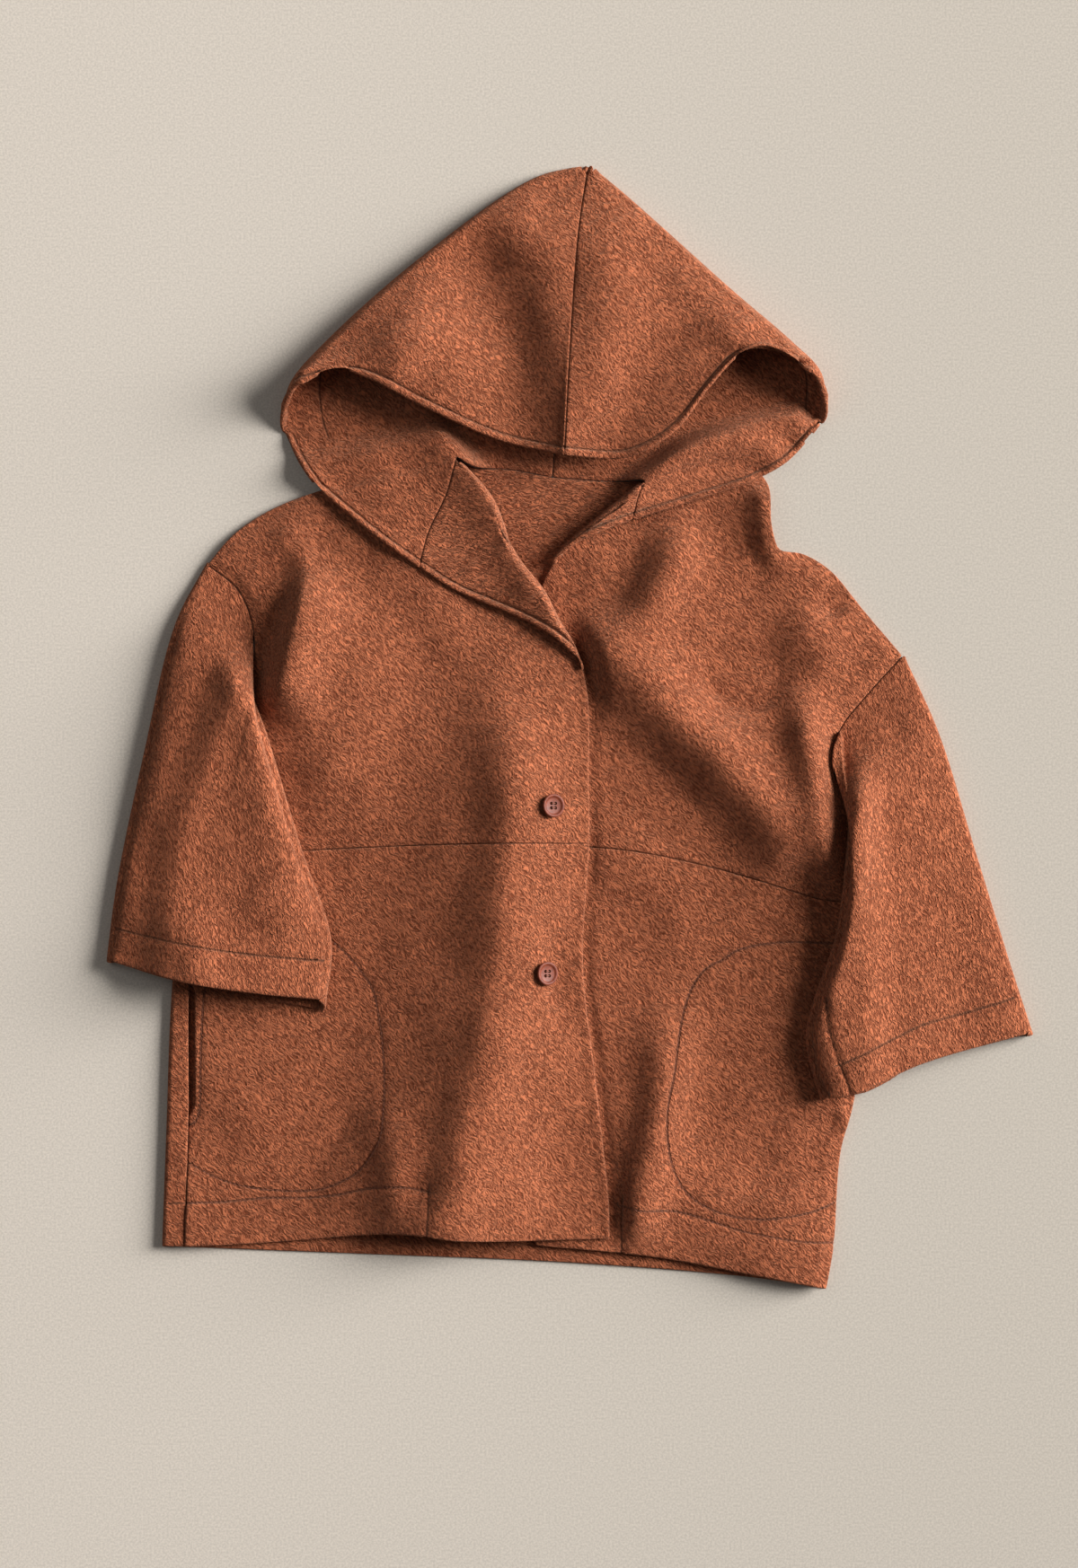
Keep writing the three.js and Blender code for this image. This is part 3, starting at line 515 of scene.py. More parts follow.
@dataclass(frozen=True)
class Folds:
    """Folds of each panel, as it lies."""

    front_r: tuple[Fold, ...] = (
        Fold(((-44, 90), (-48, -60), (-54, -180), (-82, -375)), 56, 18, 20, -0.12, (0.3, 0)),
        Fold(((-46, 28), (-43, -60), (-46, -130), (-57, -225)), 27, 5, 6, 0.15),
        Fold(((-50, -150), (-62, -230), (-78, -310), (-92, -375)), 25, 6, 6, 0.15, (0.45, 0)),
        Fold(((-186, 138), (-201, 92), (-213, 45), (-224, -5)), 20, 19, 18, 0.35, (0.35, 0.25)),
        Fold(((-206, 106), (-229, 58), (-238, 8)), 10, -4, -3),
        Fold(((-112, -320), (-119, -375)), 15, -3, -4, 0.0, (0.5, 0)),
        Fold(((-140, -265), (-133, -325), (-120, -378)), 19, 8, 9, 0.0, (0.6, 0)),
        Fold(((-160, -255), (-200, -330), (-226, -378)), 24, -6, -6, 0.0, (0.4, 0.2)),
        Fold(((-165, 130), (-178, -120)), 46, 11, 8),
        Fold(((-14, -140), (-8, -190), (-2, -240)), 10, -3),
        Fold(((-190, 155), (-125, 108), (-85, 45)), 26, 5, 3),
        Fold(((-225, 158), (-190, 115)), 15, 5, 5),
        Fold(((-250, -120), (-190, -158)), 22, 4),
    )
    front_l: tuple[Fold, ...] = (
        Fold(((4, 90), (52, 38), (102, -8), (147, -60), (190, -108)), 30, 16, 18, 0.0, (0.15, 0.12)),
        Fold(((20, 0), (80, -52), (150, -114)), 30, -4, -4, 0.0, (0.3, 0.3)),
        Fold(((172, 50), (182, -15), (198, -100), (203, -132)), 16, 15, 14, 0.0, (0.35, 0.2)),
        Fold(((96, 172), (76, 118), (44, 58)), 20, 13, 9),
        Fold(((66, 150), (44, 112), (22, 66)), 12, -3),
        Fold(((150, 190), (157, 112)), 15, 12, 9, 0.0, (0.25, 0.5)),
        Fold(((122, 160), (146, 96)), 15, -4),
        Fold(((100, 66), (148, 2)), 34, -9),
        Fold(((192, 106), (210, 84)), 11, -5),
        Fold(((160, 92), (216, 32)), 24, 8, 6),
        Fold(((84, -180), (70, -268), (50, -365)), 22, 12, 12, 0.0, (0.45, 0)),
        Fold(((60, -230), (36, -365)), 13, -3, -4, 0.0, (0.4, 0)),
        Fold(((120, -140), (170, -280)), 46, -6),
        Fold(((205, -284), (213, -312)), 5, 4, 2),
        Fold(((150, -330), (170, -420)), 40, 5, 5, 0.0, (0.4, 0)),
    )
    sleeve_r: tuple[Fold, ...] = (
        Fold(((-264, 100), (-246, 35), (-224, -25), (-197, -110)), 19, 5, 5, 0.0, (0.15, 0.3)),
        Fold(((-206, -70), (-190, -165)), 18, 4, 4),
        Fold(((-296, 50), (-325, -130)), 19, 4),
        Fold(((-262, -20), (-262, -140)), 30, -3),
        Fold(((-294, -130), (-280, -190)), 20, 4, 4, 0.0, (0.4, 0)),
    )
    sleeve_l: tuple[Fold, ...] = (
        Fold(((219, -14), (220, -50), (219, -90), (206, -160)), 14, 8, 8, 0.0, (0.1, 0.3)),
        Fold(((212, -130), (196, -190), (188, -215)), 13, 6, 6, 0.0, (0.4, 0.2)),
        Fold(((238, 26), (258, -16)), 15, -8),
        Fold(((250, 54), (284, -15), (304, -105)), 22, 6, 6, 0.0, (0.2, 0.4)),
        Fold(((280, -100), (304, -220)), 23, -5, -6, 0.0, (0.4, 0)),
        Fold(((314, -90), (336, -215)), 15, 4, 5, 0.0, (0.4, 0)),
    )
    hood_r: tuple[Fold, ...] = (
        Fold(((-50, 392), (-66, 348), (-48, 292), (-26, 232), (-20, 190)), 34, -13, -17, 0.0, (0.3, 0)),
        Fold(((-150, 306), (-110, 262)), 26, 7),
        Fold(((-40, 330), (-22, 240)), 20, -4),
    )
    hood_l: tuple[Fold, ...] = (
        Fold(((90, 345), (74, 290), (38, 240), (24, 195)), 28, -5, -14, 0.0, (0.4, 0)),
        Fold(((26, 400), (24, 300), (22, 220)), 20, 5, 4, 0.0, (0.3, 0.1)),
        Fold(((130, 318), (120, 280)), 20, 4),
    )


@dataclass(frozen=True)
class Roll:
    """Rise of the collar along its roll line."""

    width: float
    height: float


class Shape:
    """Heights of the coat's layers, worked out from its pattern."""

    def __init__(self, pattern: Pattern, folds: Folds) -> None:
        """Samples the seams and edges that the heights depend on.

        Args:
            pattern: the coat's outlines.
            folds: its folds.
        """
        self.pattern = pattern
        self.folds = folds
        line = pattern.line

        def joined(*names: str) -> Array:
            """Seams end to end, sampled coarsely."""
            return chain(*(line(name, COARSE_CELL) for name in names))

        self.open_r = joined("roll_r", "overlap", "lower_edge_r")
        self.side_r = joined("back_side_r", "side_fold_r")
        self.side_l = joined("side_l", "lower_side_l")
        self.shoulder_r = joined("shoulder_r")
        self.shoulder_l = line("shoulder_l", SHOULDER_CELL)
        self.pressed_r = chain(self.shoulder_r[::-1], joined("armhole_r", "front_side_r"))
        self.pressed_l = chain(self.shoulder_l, joined("armhole_l", "side_l", "lower_side_l"))
        self.roll_r = chain(joined("hood_roll_r"), joined("roll_r")[1:])
        self.roll_l = chain(joined("hood_roll_l"), joined("roll_l")[1:])
        self.rise_r = Roll(width=20.0, height=7.0)
        self.rise_l = Roll(width=17.0, height=11.0)

    def front_r(self, xy: Array) -> Array:
        """Height of the top front: pressed at its seams, raised where it laps over the other.

        Args:
            xy: points.

        Returns:
            Heights.
        """
        base = mix(PRESSED_Z, FRONT_Z, smooth(distance_to(self.pressed_r, xy) / EDGE_DROP))
        lap = LAP_RISE * (1 - smooth((distance_to(self.open_r, xy) - LAP_FLAT) / LAP_FADE))
        return base + lap + fold_height(self.folds.front_r, xy)

    def front_l(self, xy: Array) -> Array:
        """Height of the front below: flat where the other one laps over it.

        Args:
            xy: points.

        Returns:
            Heights.
        """
        base = mix(PRESSED_Z, FRONT_Z, smooth(distance_to(self.pressed_l, xy) / EDGE_DROP))
        distance, side, _ = nearest(self.open_r, xy)
        clear = np.where(side > 0, smooth(distance / LAP_CLEAR), 0.0)
        groove = EDGE_GROOVE * np.exp(-(((distance * side - EDGE_GROOVE_AT) / EDGE_GROOVE_WIDTH) ** 2))
        return base - groove + clear * fold_height(self.folds.front_l, xy)

    def laid_r(self, xy: Array) -> Array:
        """Height of the top front with its slight unevenness."""
        return above_back(self.front_r(xy) + drape(xy))

    def laid_l(self, xy: Array) -> Array:
        """Height of the front below with its slight unevenness."""
        return above_back(self.front_l(xy) + drape(xy))

    def climb(
        self, line: Array, body_side: int, ramp: float, full: float, over: Array, xy: Array
    ) -> Array:
        """Height of cloth that climbs from the floor onto the body across its outline.

        Args:
            line: the outline.
            body_side: side of the line on which the body lies.
            ramp: distance outside at which the climb starts.
            full: distance outside at which it ends.
            over: height on the body.
            xy: points.

        Returns:
            Heights.
        """
        distance, side, _ = nearest(line, xy)
        outside = np.where(side == body_side, 0.0, distance)
        return mix(BACK_Z, over, smooth((ramp - outside) / (ramp - full)))

    def front(self, left: bool) -> Height:
        """Height of the front on one side, as a function of points."""
        return self.front_l if left else self.front_r

    def collar(self, left: bool) -> Height:
        """Height of the turned-back collar and the hood's back on one side.

        Args:
            left: True for the wearer's left.

        Returns:
            The height as a function of points.
        """
        shoulder = self.shoulder_l if left else self.shoulder_r
        line, neck_side, roll = (
            (self.roll_l, -1, self.rise_l) if left else (self.roll_r, 1, self.rise_r)
        )

        def height(xy: Array) -> Array:
            """Height at each point."""
            over = self.front(left)(xy) + COLLAR_STEP
            climbed = self.climb(shoulder, -1, COLLAR_RAMP, COLLAR_FULL, over, xy)
            return self.rolled(climbed, line, neck_side, roll, xy)

        return height

    def rolled(self, climbed: Array, line: Array, neck_side: int, roll: Roll, xy: Array) -> Array:
        """Height of cloth that rolls over a line and drops into the neck behind it.

        Args:
            climbed: height without the roll.
            line: the roll line.
            neck_side: side of the line on which the neck lies.
            roll: the roll's rise.
            xy: points.

        Returns:
            Heights.
        """
        distance, side, way = nearest(line, xy)
        behind = np.where(side == neck_side, distance, 0.0)
        crest = roll.height * np.exp(-((distance / roll.width) ** 2))
        crest *= 1 - smooth(behind / NECK_DROP)
        crest *= ROLL_END + (1 - ROLL_END) * smooth((lengths(line)[-1] - way) / ROLL_FADE)
        return mix(climbed, BACK_Z, smooth(behind / NECK_DROP)) + crest


# Objects


def new_object(name: str, points: Array, faces: list) -> bpy.types.Object:
    """Makes an object from points in millimetres that aren't centred yet.

    Args:
        name: its name.
        points: its vertices.
        faces: vertex numbers of each face.

    Returns:
        The new object.
    """
    mesh = bpy.data.meshes.new(name)
    mesh.from_pydata(((points + CENTRING) * MM).tolist(), [], faces)
    thing = bpy.data.objects.new(name, mesh)
    bpy.context.scene.collection.objects.link(thing)
    return thing


def tube_faces(base: int, rings: int, sides: int) -> list[tuple]:
    """Faces of a closed tube.

    Args:
        base: number of its first vertex.
        rings: number of rings of vertices.
        sides: number of vertices in a ring.

    Returns:
        The faces of its wall and both ends.
    """
    faces = []
    for row in range(rings - 1):
        for k in range(sides):
            a, b = base + row * sides + k, base + row * sides + (k + 1) % sides
            faces.append((a, b, b + sides, a + sides))
    last = base + (rings - 1) * sides
    faces.append(tuple(base + k for k in reversed(range(sides))))
    faces.append(tuple(last + k for k in range(sides)))
    return faces


# Cloth walls


@dataclass
class Grid:
    """A stretch of cloth.

    Args:
        mid: points in the middle of the cloth, shape (rows, columns, 3).
        out: unit vectors to its outer face.
        dent: how far stitches pull each face in.
        marks: values for the surface's finish, by name.
    """

    mid: Array
    out: Array
    dent: Array = field(default_factory=lambda: np.zeros(0))
    marks: dict[str, Array] = field(default_factory=dict)

    def __post_init__(self) -> None:
        """Starts with no dents."""
        if not self.dent.size:
            self.dent = np.zeros(self.mid.shape[:2])

    def mark(self, name: str) -> Array:
        """Values of a mark, or no mark where the cloth doesn't carry it."""
        return self.marks.get(name, np.broadcast_to(NO_MARK, self.mid.shape))


def level(xy: Array, z: Array, up: int) -> Grid:
    """Cloth that lies level.

    Args:
        xy: its points in plan.
        z: their heights.
        up: 1 where its outer face looks up, else -1.

    Returns:
        The stretch of cloth.
    """
    mid = np.dstack([xy, z])
    out = np.zeros_like(mid)
    out[..., 2] = up
    return Grid(mid, out)


def turn(start: Grid, end: Grid, outward: Array, bulge: Array | float, steps: int) -> Grid:
    """Cloth that turns from one layer to the other round a fold.

    Args:
        start: the layer that it leaves, at its last column.
        end: the layer that it reaches, at its first column.
        outward: directions in plan in which it bulges, one for each row.
        bulge: how far.
        steps: number of steps round the turn.

    Returns:
        The columns between the two layers.
    """
    angle = np.pi * np.arange(1, steps)[None, :] / steps
    share = ((1 - np.cos(angle)) / 2)[..., None]
    a, b = start.mid[:, -1][:, None], end.mid[:, 0][:, None]
    side = np.zeros((len(outward), 1, 3))
    side[:, 0, :2] = outward
    depth = np.broadcast_to(np.asarray(bulge, float), (len(outward),))[:, None, None]
    mid = mix(a, b, share) + side * depth * np.sin(angle)[..., None]
    up = start.out[:, -1][:, None] * np.cos(angle)[..., None]
    return Grid(mid, up + side * np.sin(angle)[..., None])


def beside(*grids: Grid) -> Grid:
    """Grids joined side by side into one."""
    names = sorted({name for g in grids for name in g.marks})
    marks = {name: np.concatenate([g.mark(name) for g in grids], axis=1) for name in names}
    return Grid(
        np.concatenate([g.mid for g in grids], axis=1),
        np.concatenate([g.out for g in grids], axis=1),
        np.concatenate([g.dent for g in grids], axis=1),
        marks,
    )


def doubled(grid: Grid, distance: Array, reach: float, more: float = 0.5) -> None:
    """Thickens cloth that is turned in on itself beside an edge.

    Args:
        grid: the cloth.
        distance: distance of each point from the edge.
        reach: how far it is turned in.
        more: by how much each face moves out.
    """
    grid.dent -= more * smooth((reach - distance) / DOUBLED_EDGE)


def groove(distance: Array, depth: float = GROOVE_DEPTH) -> Array:
    """Depth of the groove of the stitches that run beside a free edge.

    Args:
        distance: distance from the edge.
        depth: the groove's full depth.

    Returns:
        Depth at each point.
    """
    return depth * np.exp(-(((distance - BRIM_STITCH) / GROOVE_WIDTH) ** 2))


@dataclass(frozen=True)
class Stitch:
    """A line of stitches through the cloth.

    Args:
        line: its points.
        dent: how far it pulls the face in.
        width: half-width of its groove.
    """

    line: Array
    dent: float = 0.75
    width: float = 1.7

    def press(self, grid: Grid, name: str) -> None:
        """Sinks the stitches into a grid and marks them for its finish.

        Args:
            grid: the cloth.
            name: name of the mark.
        """
        distance, side, way = nearest(self.line, grid.mid[..., :2])
        grid.dent += self.dent * np.exp(-((distance / self.width) ** 2))
        near = 1 - smooth((distance - MARK_NEAR) / MARK_FADE)
        grid.marks[name] = np.dstack([distance * side, near, way])


def welded(grids: list[Grid], ring: bool) -> tuple[Array, Array]:
    """Joins grids at the points that they share.

    Args:
        grids: stretches of cloth.
        ring: True joins each grid's last column to its first.

    Returns:
        Number of the first point in each joined one, and the faces by joined points.
    """
    mid = np.vstack([g.mid.reshape(-1, 3) for g in grids])
    _, first, number = np.unique(np.round(mid, 3), axis=0, return_index=True, return_inverse=True)
    number = number.ravel()
    quads = []
    offset = 0
    for g in grids:
        rows, columns = g.mid.shape[:2]
        ids = number[offset : offset + rows * columns].reshape(rows, columns)
        offset += rows * columns
        if ring:
            ids = np.hstack([ids, ids[:, :1]])
        corners = [ids[:-1, :-1], ids[:-1, 1:], ids[1:, 1:], ids[1:, :-1]]
        quads.append(np.dstack(corners).reshape(-1, 4))
    return first, np.vstack(quads)


def border_of(quads: Array) -> Array:
    """Sides of faces that no second face shares."""
    sides = np.vstack([quads[:, [k, (k + 1) % 4]] for k in range(4)])
    _, index, times = np.unique(np.sort(sides, axis=1), axis=0, return_index=True, return_counts=True)
    return sides[index[times == 1]]


def away_from(mid: Array, out: Array, quads: Array, border: Array) -> Array:
    """Directions in which a free edge of the cloth faces.

    Args:
        mid: points in the middle of the cloth.
        out: unit vectors to its outer face.
        quads: its faces.
        border: sides along its free edges.

    Returns:
        Unit vectors at the border's points, 0 elsewhere.
    """
    away = np.zeros_like(mid)
    for a, b in ((0, 1), (1, 0)):
        d = mid[border[:, 1]] - mid[border[:, 0]]
        np.add.at(away, border[:, a], np.cross(d, out[border[:, b]]))
    rim = np.unique(border)
    away[rim] /= np.maximum(np.linalg.norm(away[rim], axis=1), 1e-9)[:, None]
    inward = np.zeros_like(mid)
    for k in range(4):
        np.add.at(inward, quads[:, k], mid[quads].mean(axis=1) - mid[quads[:, k]])
    away[(away * inward).sum(axis=1) > 0] *= -1
    return away


def signed_volume(corners: Array) -> float:
    """Six times the volume inside four-cornered faces, below 0 where they face inwards."""
    first = np.einsum("ij,ij->", corners[:, 0], np.cross(corners[:, 1], corners[:, 2]))
    return first + np.einsum("ij,ij->", corners[:, 0], np.cross(corners[:, 2], corners[:, 3]))


def wall(name: str, grids: list[Grid], ring: bool = False, half: float = HALF) -> bpy.types.Object:
    """Closed wall of cloth with rounded raw edges.

    Args:
        name: name of the object.
        grids: stretches that share the points along which they join.
        ring: True joins each grid's last column to its first.
        half: half the thickness.

    Returns:
        The new object.
    """
    first, quads = welded(grids, ring)
    mid = np.vstack([g.mid.reshape(-1, 3) for g in grids])[first]
    out = np.vstack([g.out.reshape(-1, 3) for g in grids])[first]
    dent = np.concatenate([g.dent.ravel() for g in grids])[first]
    thick = (half - dent)[:, None]
    outer, inner = mid + out * thick, mid - out * thick
    count = len(mid)

    border = border_of(quads)
    rim = np.unique(border)
    away = away_from(mid, out, quads, border)
    rings = []
    for angle in RIM_ANGLES:
        a = math.radians(angle)
        bulge = away[rim] * RIM / half * math.sin(a) + out[rim] * math.cos(a)
        rings.append(mid[rim] + bulge * thick[rim])
    vertices = np.vstack([outer, inner, *rings])
    vertices[:, 2] = np.maximum(vertices[:, 2], 0)
    steps = len(rings) + 1
    bases = [2 * count + k * len(rim) for k in range(len(rings))]
    place = np.full(count, -1)
    place[rim] = np.arange(len(rim))

    def at(step: int, ids: Array) -> Array:
        """Vertex numbers at a step round the rim, from the outer face to the inner one."""
        if step == 0:
            return ids
        return count + ids if step == steps else bases[step - 1] + place[ids]

    faces = [quads, count + quads[:, ::-1]]
    for step in range(steps):
        a, b = border[:, 1], border[:, 0]
        faces.append(np.column_stack([at(step, a), at(step, b), at(step + 1, b), at(step + 1, a)]))
    faces = np.vstack(faces)
    if signed_volume(vertices[faces]) < 0:
        faces = faces[:, ::-1]
    thing = new_object(name, vertices, faces.tolist())
    mesh = thing.data
    for mark in sorted({key for g in grids for key in g.marks}):
        values = np.vstack([g.mark(mark).reshape(-1, 3) for g in grids])[first]
        values = np.vstack([values, values, *[values[rim]] * len(rings)])
        attribute = mesh.attributes.new(mark, "FLOAT_VECTOR", "POINT")
        attribute.data.foreach_set("vector", values.astype(np.float32).ravel())
    mesh.shade_smooth()
    mesh.validate()
    return thing


def cut_size(grids: list[Grid]) -> tuple[tuple[float, float], float]:
    """Flat size of the cloth in a wall.

    Args:
        grids: its stretches.

    Returns:
        Width and length in metres, and area in square metres.
    """
    width = max(np.linalg.norm(np.diff(g.mid, axis=1), axis=2).sum(axis=1).max() for g in grids)
    length = sum(np.linalg.norm(np.diff(g.mid, axis=0), axis=2).sum(axis=0).max() for g in grids)
    area = 0.0
    for g in grids:
        p = g.mid
        a = np.cross(p[1:, 1:] - p[:-1, :-1], p[1:, :-1] - p[:-1, 1:])
        area += np.linalg.norm(a, axis=2).sum() / 2
    return (width * MM, length * MM), area * MM * MM


def dress(
    node: str, slot: Slot, finish: bpy.types.Material, grids: list[Grid],
    ring: bool = False, half: float = HALF,
    flat: tuple[float, float] | None = None,
) -> None:
    """Makes a cloth piece and puts it in the place of its node.

    Args:
        node: the node that it stands for.
        slot: the record's material slot; not used.
        finish: its material.
        grids: its stretches of cloth.
        ring: True joins each grid's last column to its first.
        half: half the thickness.
        flat: width and length of its cut in metres, or None to measure them.
    """
    thing = wall(node + "_wool", grids, ring, half)
    thing.data.materials.append(finish)
    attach(thing, "root")
    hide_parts(node)
    measured, area = cut_size(grids)
    flat = flat or measured
    area = min(area, flat[0] * flat[1])
    LOG.info(
        "%s: %d faces, cut %.0f x %.0f mm, %.4f square metres",
        thing.name, len(thing.data.polygons), flat[0] / MM, flat[1] / MM, area,
    )


# Finishes


class Graph:
    """Adds nodes to a node tree."""

    def __init__(self, tree: bpy.types.NodeTree) -> None:
        """Works on a tree."""
        self.tree = tree

    def add(self, kind: str, settings: dict | None = None, **inputs: object) -> bpy.types.Node:
        """Adds a node.

        Args:
            kind: the node's type.
            settings: its properties.
            **inputs: values or output sockets for its inputs by name, with _ for a space, or by
                number, such as i0.

        Returns:
            The node.
        """
        node = self.tree.nodes.new(kind)
        for key, value in (settings or {}).items():
            setattr(node, key, value)
        for key, value in inputs.items():
            numbered = key[0] == "i" and key[1:].isdigit()
            self.fill(node, {int(key[1:]) if numbered else key.replace("_", " "): value})
        return node

    def fill(self, node: bpy.types.Node, values: dict) -> None:
        """Gives inputs of a node their values.

        Args:
            node: the node.
            values: values or output sockets by the input's name or number.
        """
        for key, value in values.items():
            if isinstance(value, bpy.types.NodeSocket):
                self.tree.links.new(value, node.inputs[key])
            else:
                node.inputs[key].default_value = value

    def math(self, operation: str, a: object, b: object = 0.0) -> bpy.types.NodeSocket:
        """Output of a Math node."""
        return self.add("ShaderNodeMath", {"operation": operation}, i0=a, i1=b).outputs[0]

    def blend(self, factor: object, a: object, b: object) -> bpy.types.NodeSocket:
        """Mixes two colours.

        Args:
            factor: share of the second colour.
            a: the first colour.
            b: the second colour.

        Returns:
            The mixed colour.
        """
        node = self.add("ShaderNodeMix", {"data_type": "RGBA"})
        self.fill(node, {0: factor, 6: a, 7: b})
        return node.outputs[2]

    def span(
        self, value: object, low: float, high: float, to: tuple[float, float] = (0.0, 1.0)
    ) -> bpy.types.NodeSocket:
        """Maps a range of values smoothly to another.

        Args:
            value: the value.
            low: start of its range.
            high: end of its range.
            to: start and end of the new range.

        Returns:
            The mapped value.
        """
        node = self.add(
            "ShaderNodeMapRange", {"interpolation_type": "SMOOTHSTEP"},
            Value=value, From_Min=low, From_Max=high, To_Min=to[0], To_Max=to[1],
        )
        return node.outputs[0]


def new_group(name: str, inputs: dict[str, tuple], outputs: tuple[str, ...]) -> tuple:
    """Starts a shader node group.

    Args:
        name: its name.
        inputs: socket type and default by name.
        outputs: names of its float outputs.

    Returns:
        The group, its graph, its input node and its output node.
    """
    group = bpy.data.node_groups.new(name, "ShaderNodeTree")
    for key, (kind, value) in inputs.items():
        made = group.interface.new_socket(key, in_out="INPUT", socket_type=kind)
        if value is not None:
            made.default_value = value
    for key in outputs:
        group.interface.new_socket(key, in_out="OUTPUT", socket_type="NodeSocketFloat")
    graph = Graph(group)
    return group, graph, graph.add("NodeGroupInput"), graph.add("NodeGroupOutput")


@dataclass(frozen=True)
class Felt:
    """Felted fibres: short crinkled strokes over a fine grain, as a height and a tone with painted
    shade between the strokes.

    Args:
        across: scale of the strokes across them.
        stretch: their scale along them, as a share of it.
        warp_scale: scale of the crinkles.
        warp: how far they move the strokes, in metres.
        fine_scale: scale of the fine grain.
        cloud_scale: scale of the soft clouds in the tone.
        ridge_in_height: share of the strokes in the height, the fine grain makes up the rest.
        ridge_shade_in_tone: share of the strokes in the tone, which paints shade between them; the
            clouds, a random tone, make up the rest.
    """

    across: float = 760.0
    stretch: float = 0.32
    warp_scale: float = 110.0
    warp: tuple[float, float, float] = (0.006, 0.006, 0.004)
    fine_scale: float = 1900.0
    cloud_scale: float = 55.0
    ridge_in_height: float = 0.84
    ridge_shade_in_tone: float = 0.62

    def make(self) -> bpy.types.NodeTree:
        """Builds the node group.

        Returns:
            The group.
        """
        group, g, given, result = new_group(
            "felt_nap",
            {
                "Across": ("NodeSocketFloat", self.across),
                "Stretch": ("NodeSocketFloat", self.stretch),
                "Angle": ("NodeSocketFloat", 0.0),
            },
            ("Height", "ToneAndShade"),
        )
        place = g.add("ShaderNodeTexCoord").outputs["Object"]
        warp = g.add("ShaderNodeTexNoise", Vector=place, Scale=self.warp_scale, Detail=2.0)
        moved = g.add(
            "ShaderNodeVectorMath", {"operation": "MULTIPLY_ADD"},
            i0=warp.outputs["Color"], i1=self.warp, i2=place,
        )
        turned = g.add(
            "ShaderNodeVectorRotate", {"rotation_type": "Z_AXIS"},
            Vector=moved.outputs[0], Angle=given.outputs["Angle"],
        )
        axes = g.add("ShaderNodeCombineXYZ", X=given.outputs["Stretch"], Y=1.0, Z=1.0)
        stretched = g.add(
            "ShaderNodeVectorMath", {"operation": "MULTIPLY"}, i0=turned.outputs[0], i1=axes.outputs[0]
        )
        strokes = g.add(
            "ShaderNodeTexNoise", Vector=stretched.outputs[0], Scale=given.outputs["Across"],
            Detail=2.4, Roughness=0.5, Distortion=0.8,
        )
        ridges = g.span(strokes.outputs["Fac"], 0.33, 0.67)
        fine = g.add(
            "ShaderNodeTexNoise", Vector=place, Scale=self.fine_scale, Detail=2.0, Roughness=0.6
        )
        cloud = g.add(
            "ShaderNodeTexNoise", Vector=place, Scale=self.cloud_scale, Detail=4.0, Roughness=0.6
        )

        def shared(share: float, other: bpy.types.Node) -> bpy.types.NodeSocket:
            """Mixes the ridges and another noise, the ridges by a share of 1."""
            rest = g.math("MULTIPLY", other.outputs["Fac"], 1 - share)
            return g.math("ADD", g.math("MULTIPLY", ridges, share), rest)

        # Painted shade: the tone is lighter on the raised strokes and darker between them; the clouds
        # add a random tone.
        tone = g.span(shared(self.ridge_shade_in_tone, cloud), 0.12, 0.88)
        g.fill(result, {"Height": shared(self.ridge_in_height, fine), "ToneAndShade": tone})
        return group


def stitch_group() -> bpy.types.NodeTree:
    """Builds the node group of a line of stitches: a thin crease in the cloth, with painted shade along
    it.

    Returns:
        The group.
    """
    group, g, given, result = new_group(
        "stitch_line", {"Line": ("NodeSocketVector", None)}, ("CreaseShade", "Height")
    )
    parts = g.add("ShaderNodeSeparateXYZ", Vector=given.outputs["Line"])
    distance = g.math("ABSOLUTE", parts.outputs["X"])
    # Painted shade mask: darkest on the stitch line, fading out about 1.25 mm from it.
    crease = g.math("MULTIPLY", g.span(distance, 0.15, 1.25, (1.0, 0.0)), parts.outputs["Y"])
    g.fill(result, {"CreaseShade": crease, "Height": g.math("MULTIPLY", crease, -1.0)})
    return group


def new_material(name: str) -> tuple[bpy.types.Material, Graph, bpy.types.Node]:
    """Starts a material.

    Args:
        name: its name.

    Returns:
        The material, its graph and its shader node.
    """
    material = bpy.data.materials.new(name)
    material.use_nodes = True
    return material, Graph(material.node_tree), material.node_tree.nodes["Principled BSDF"]


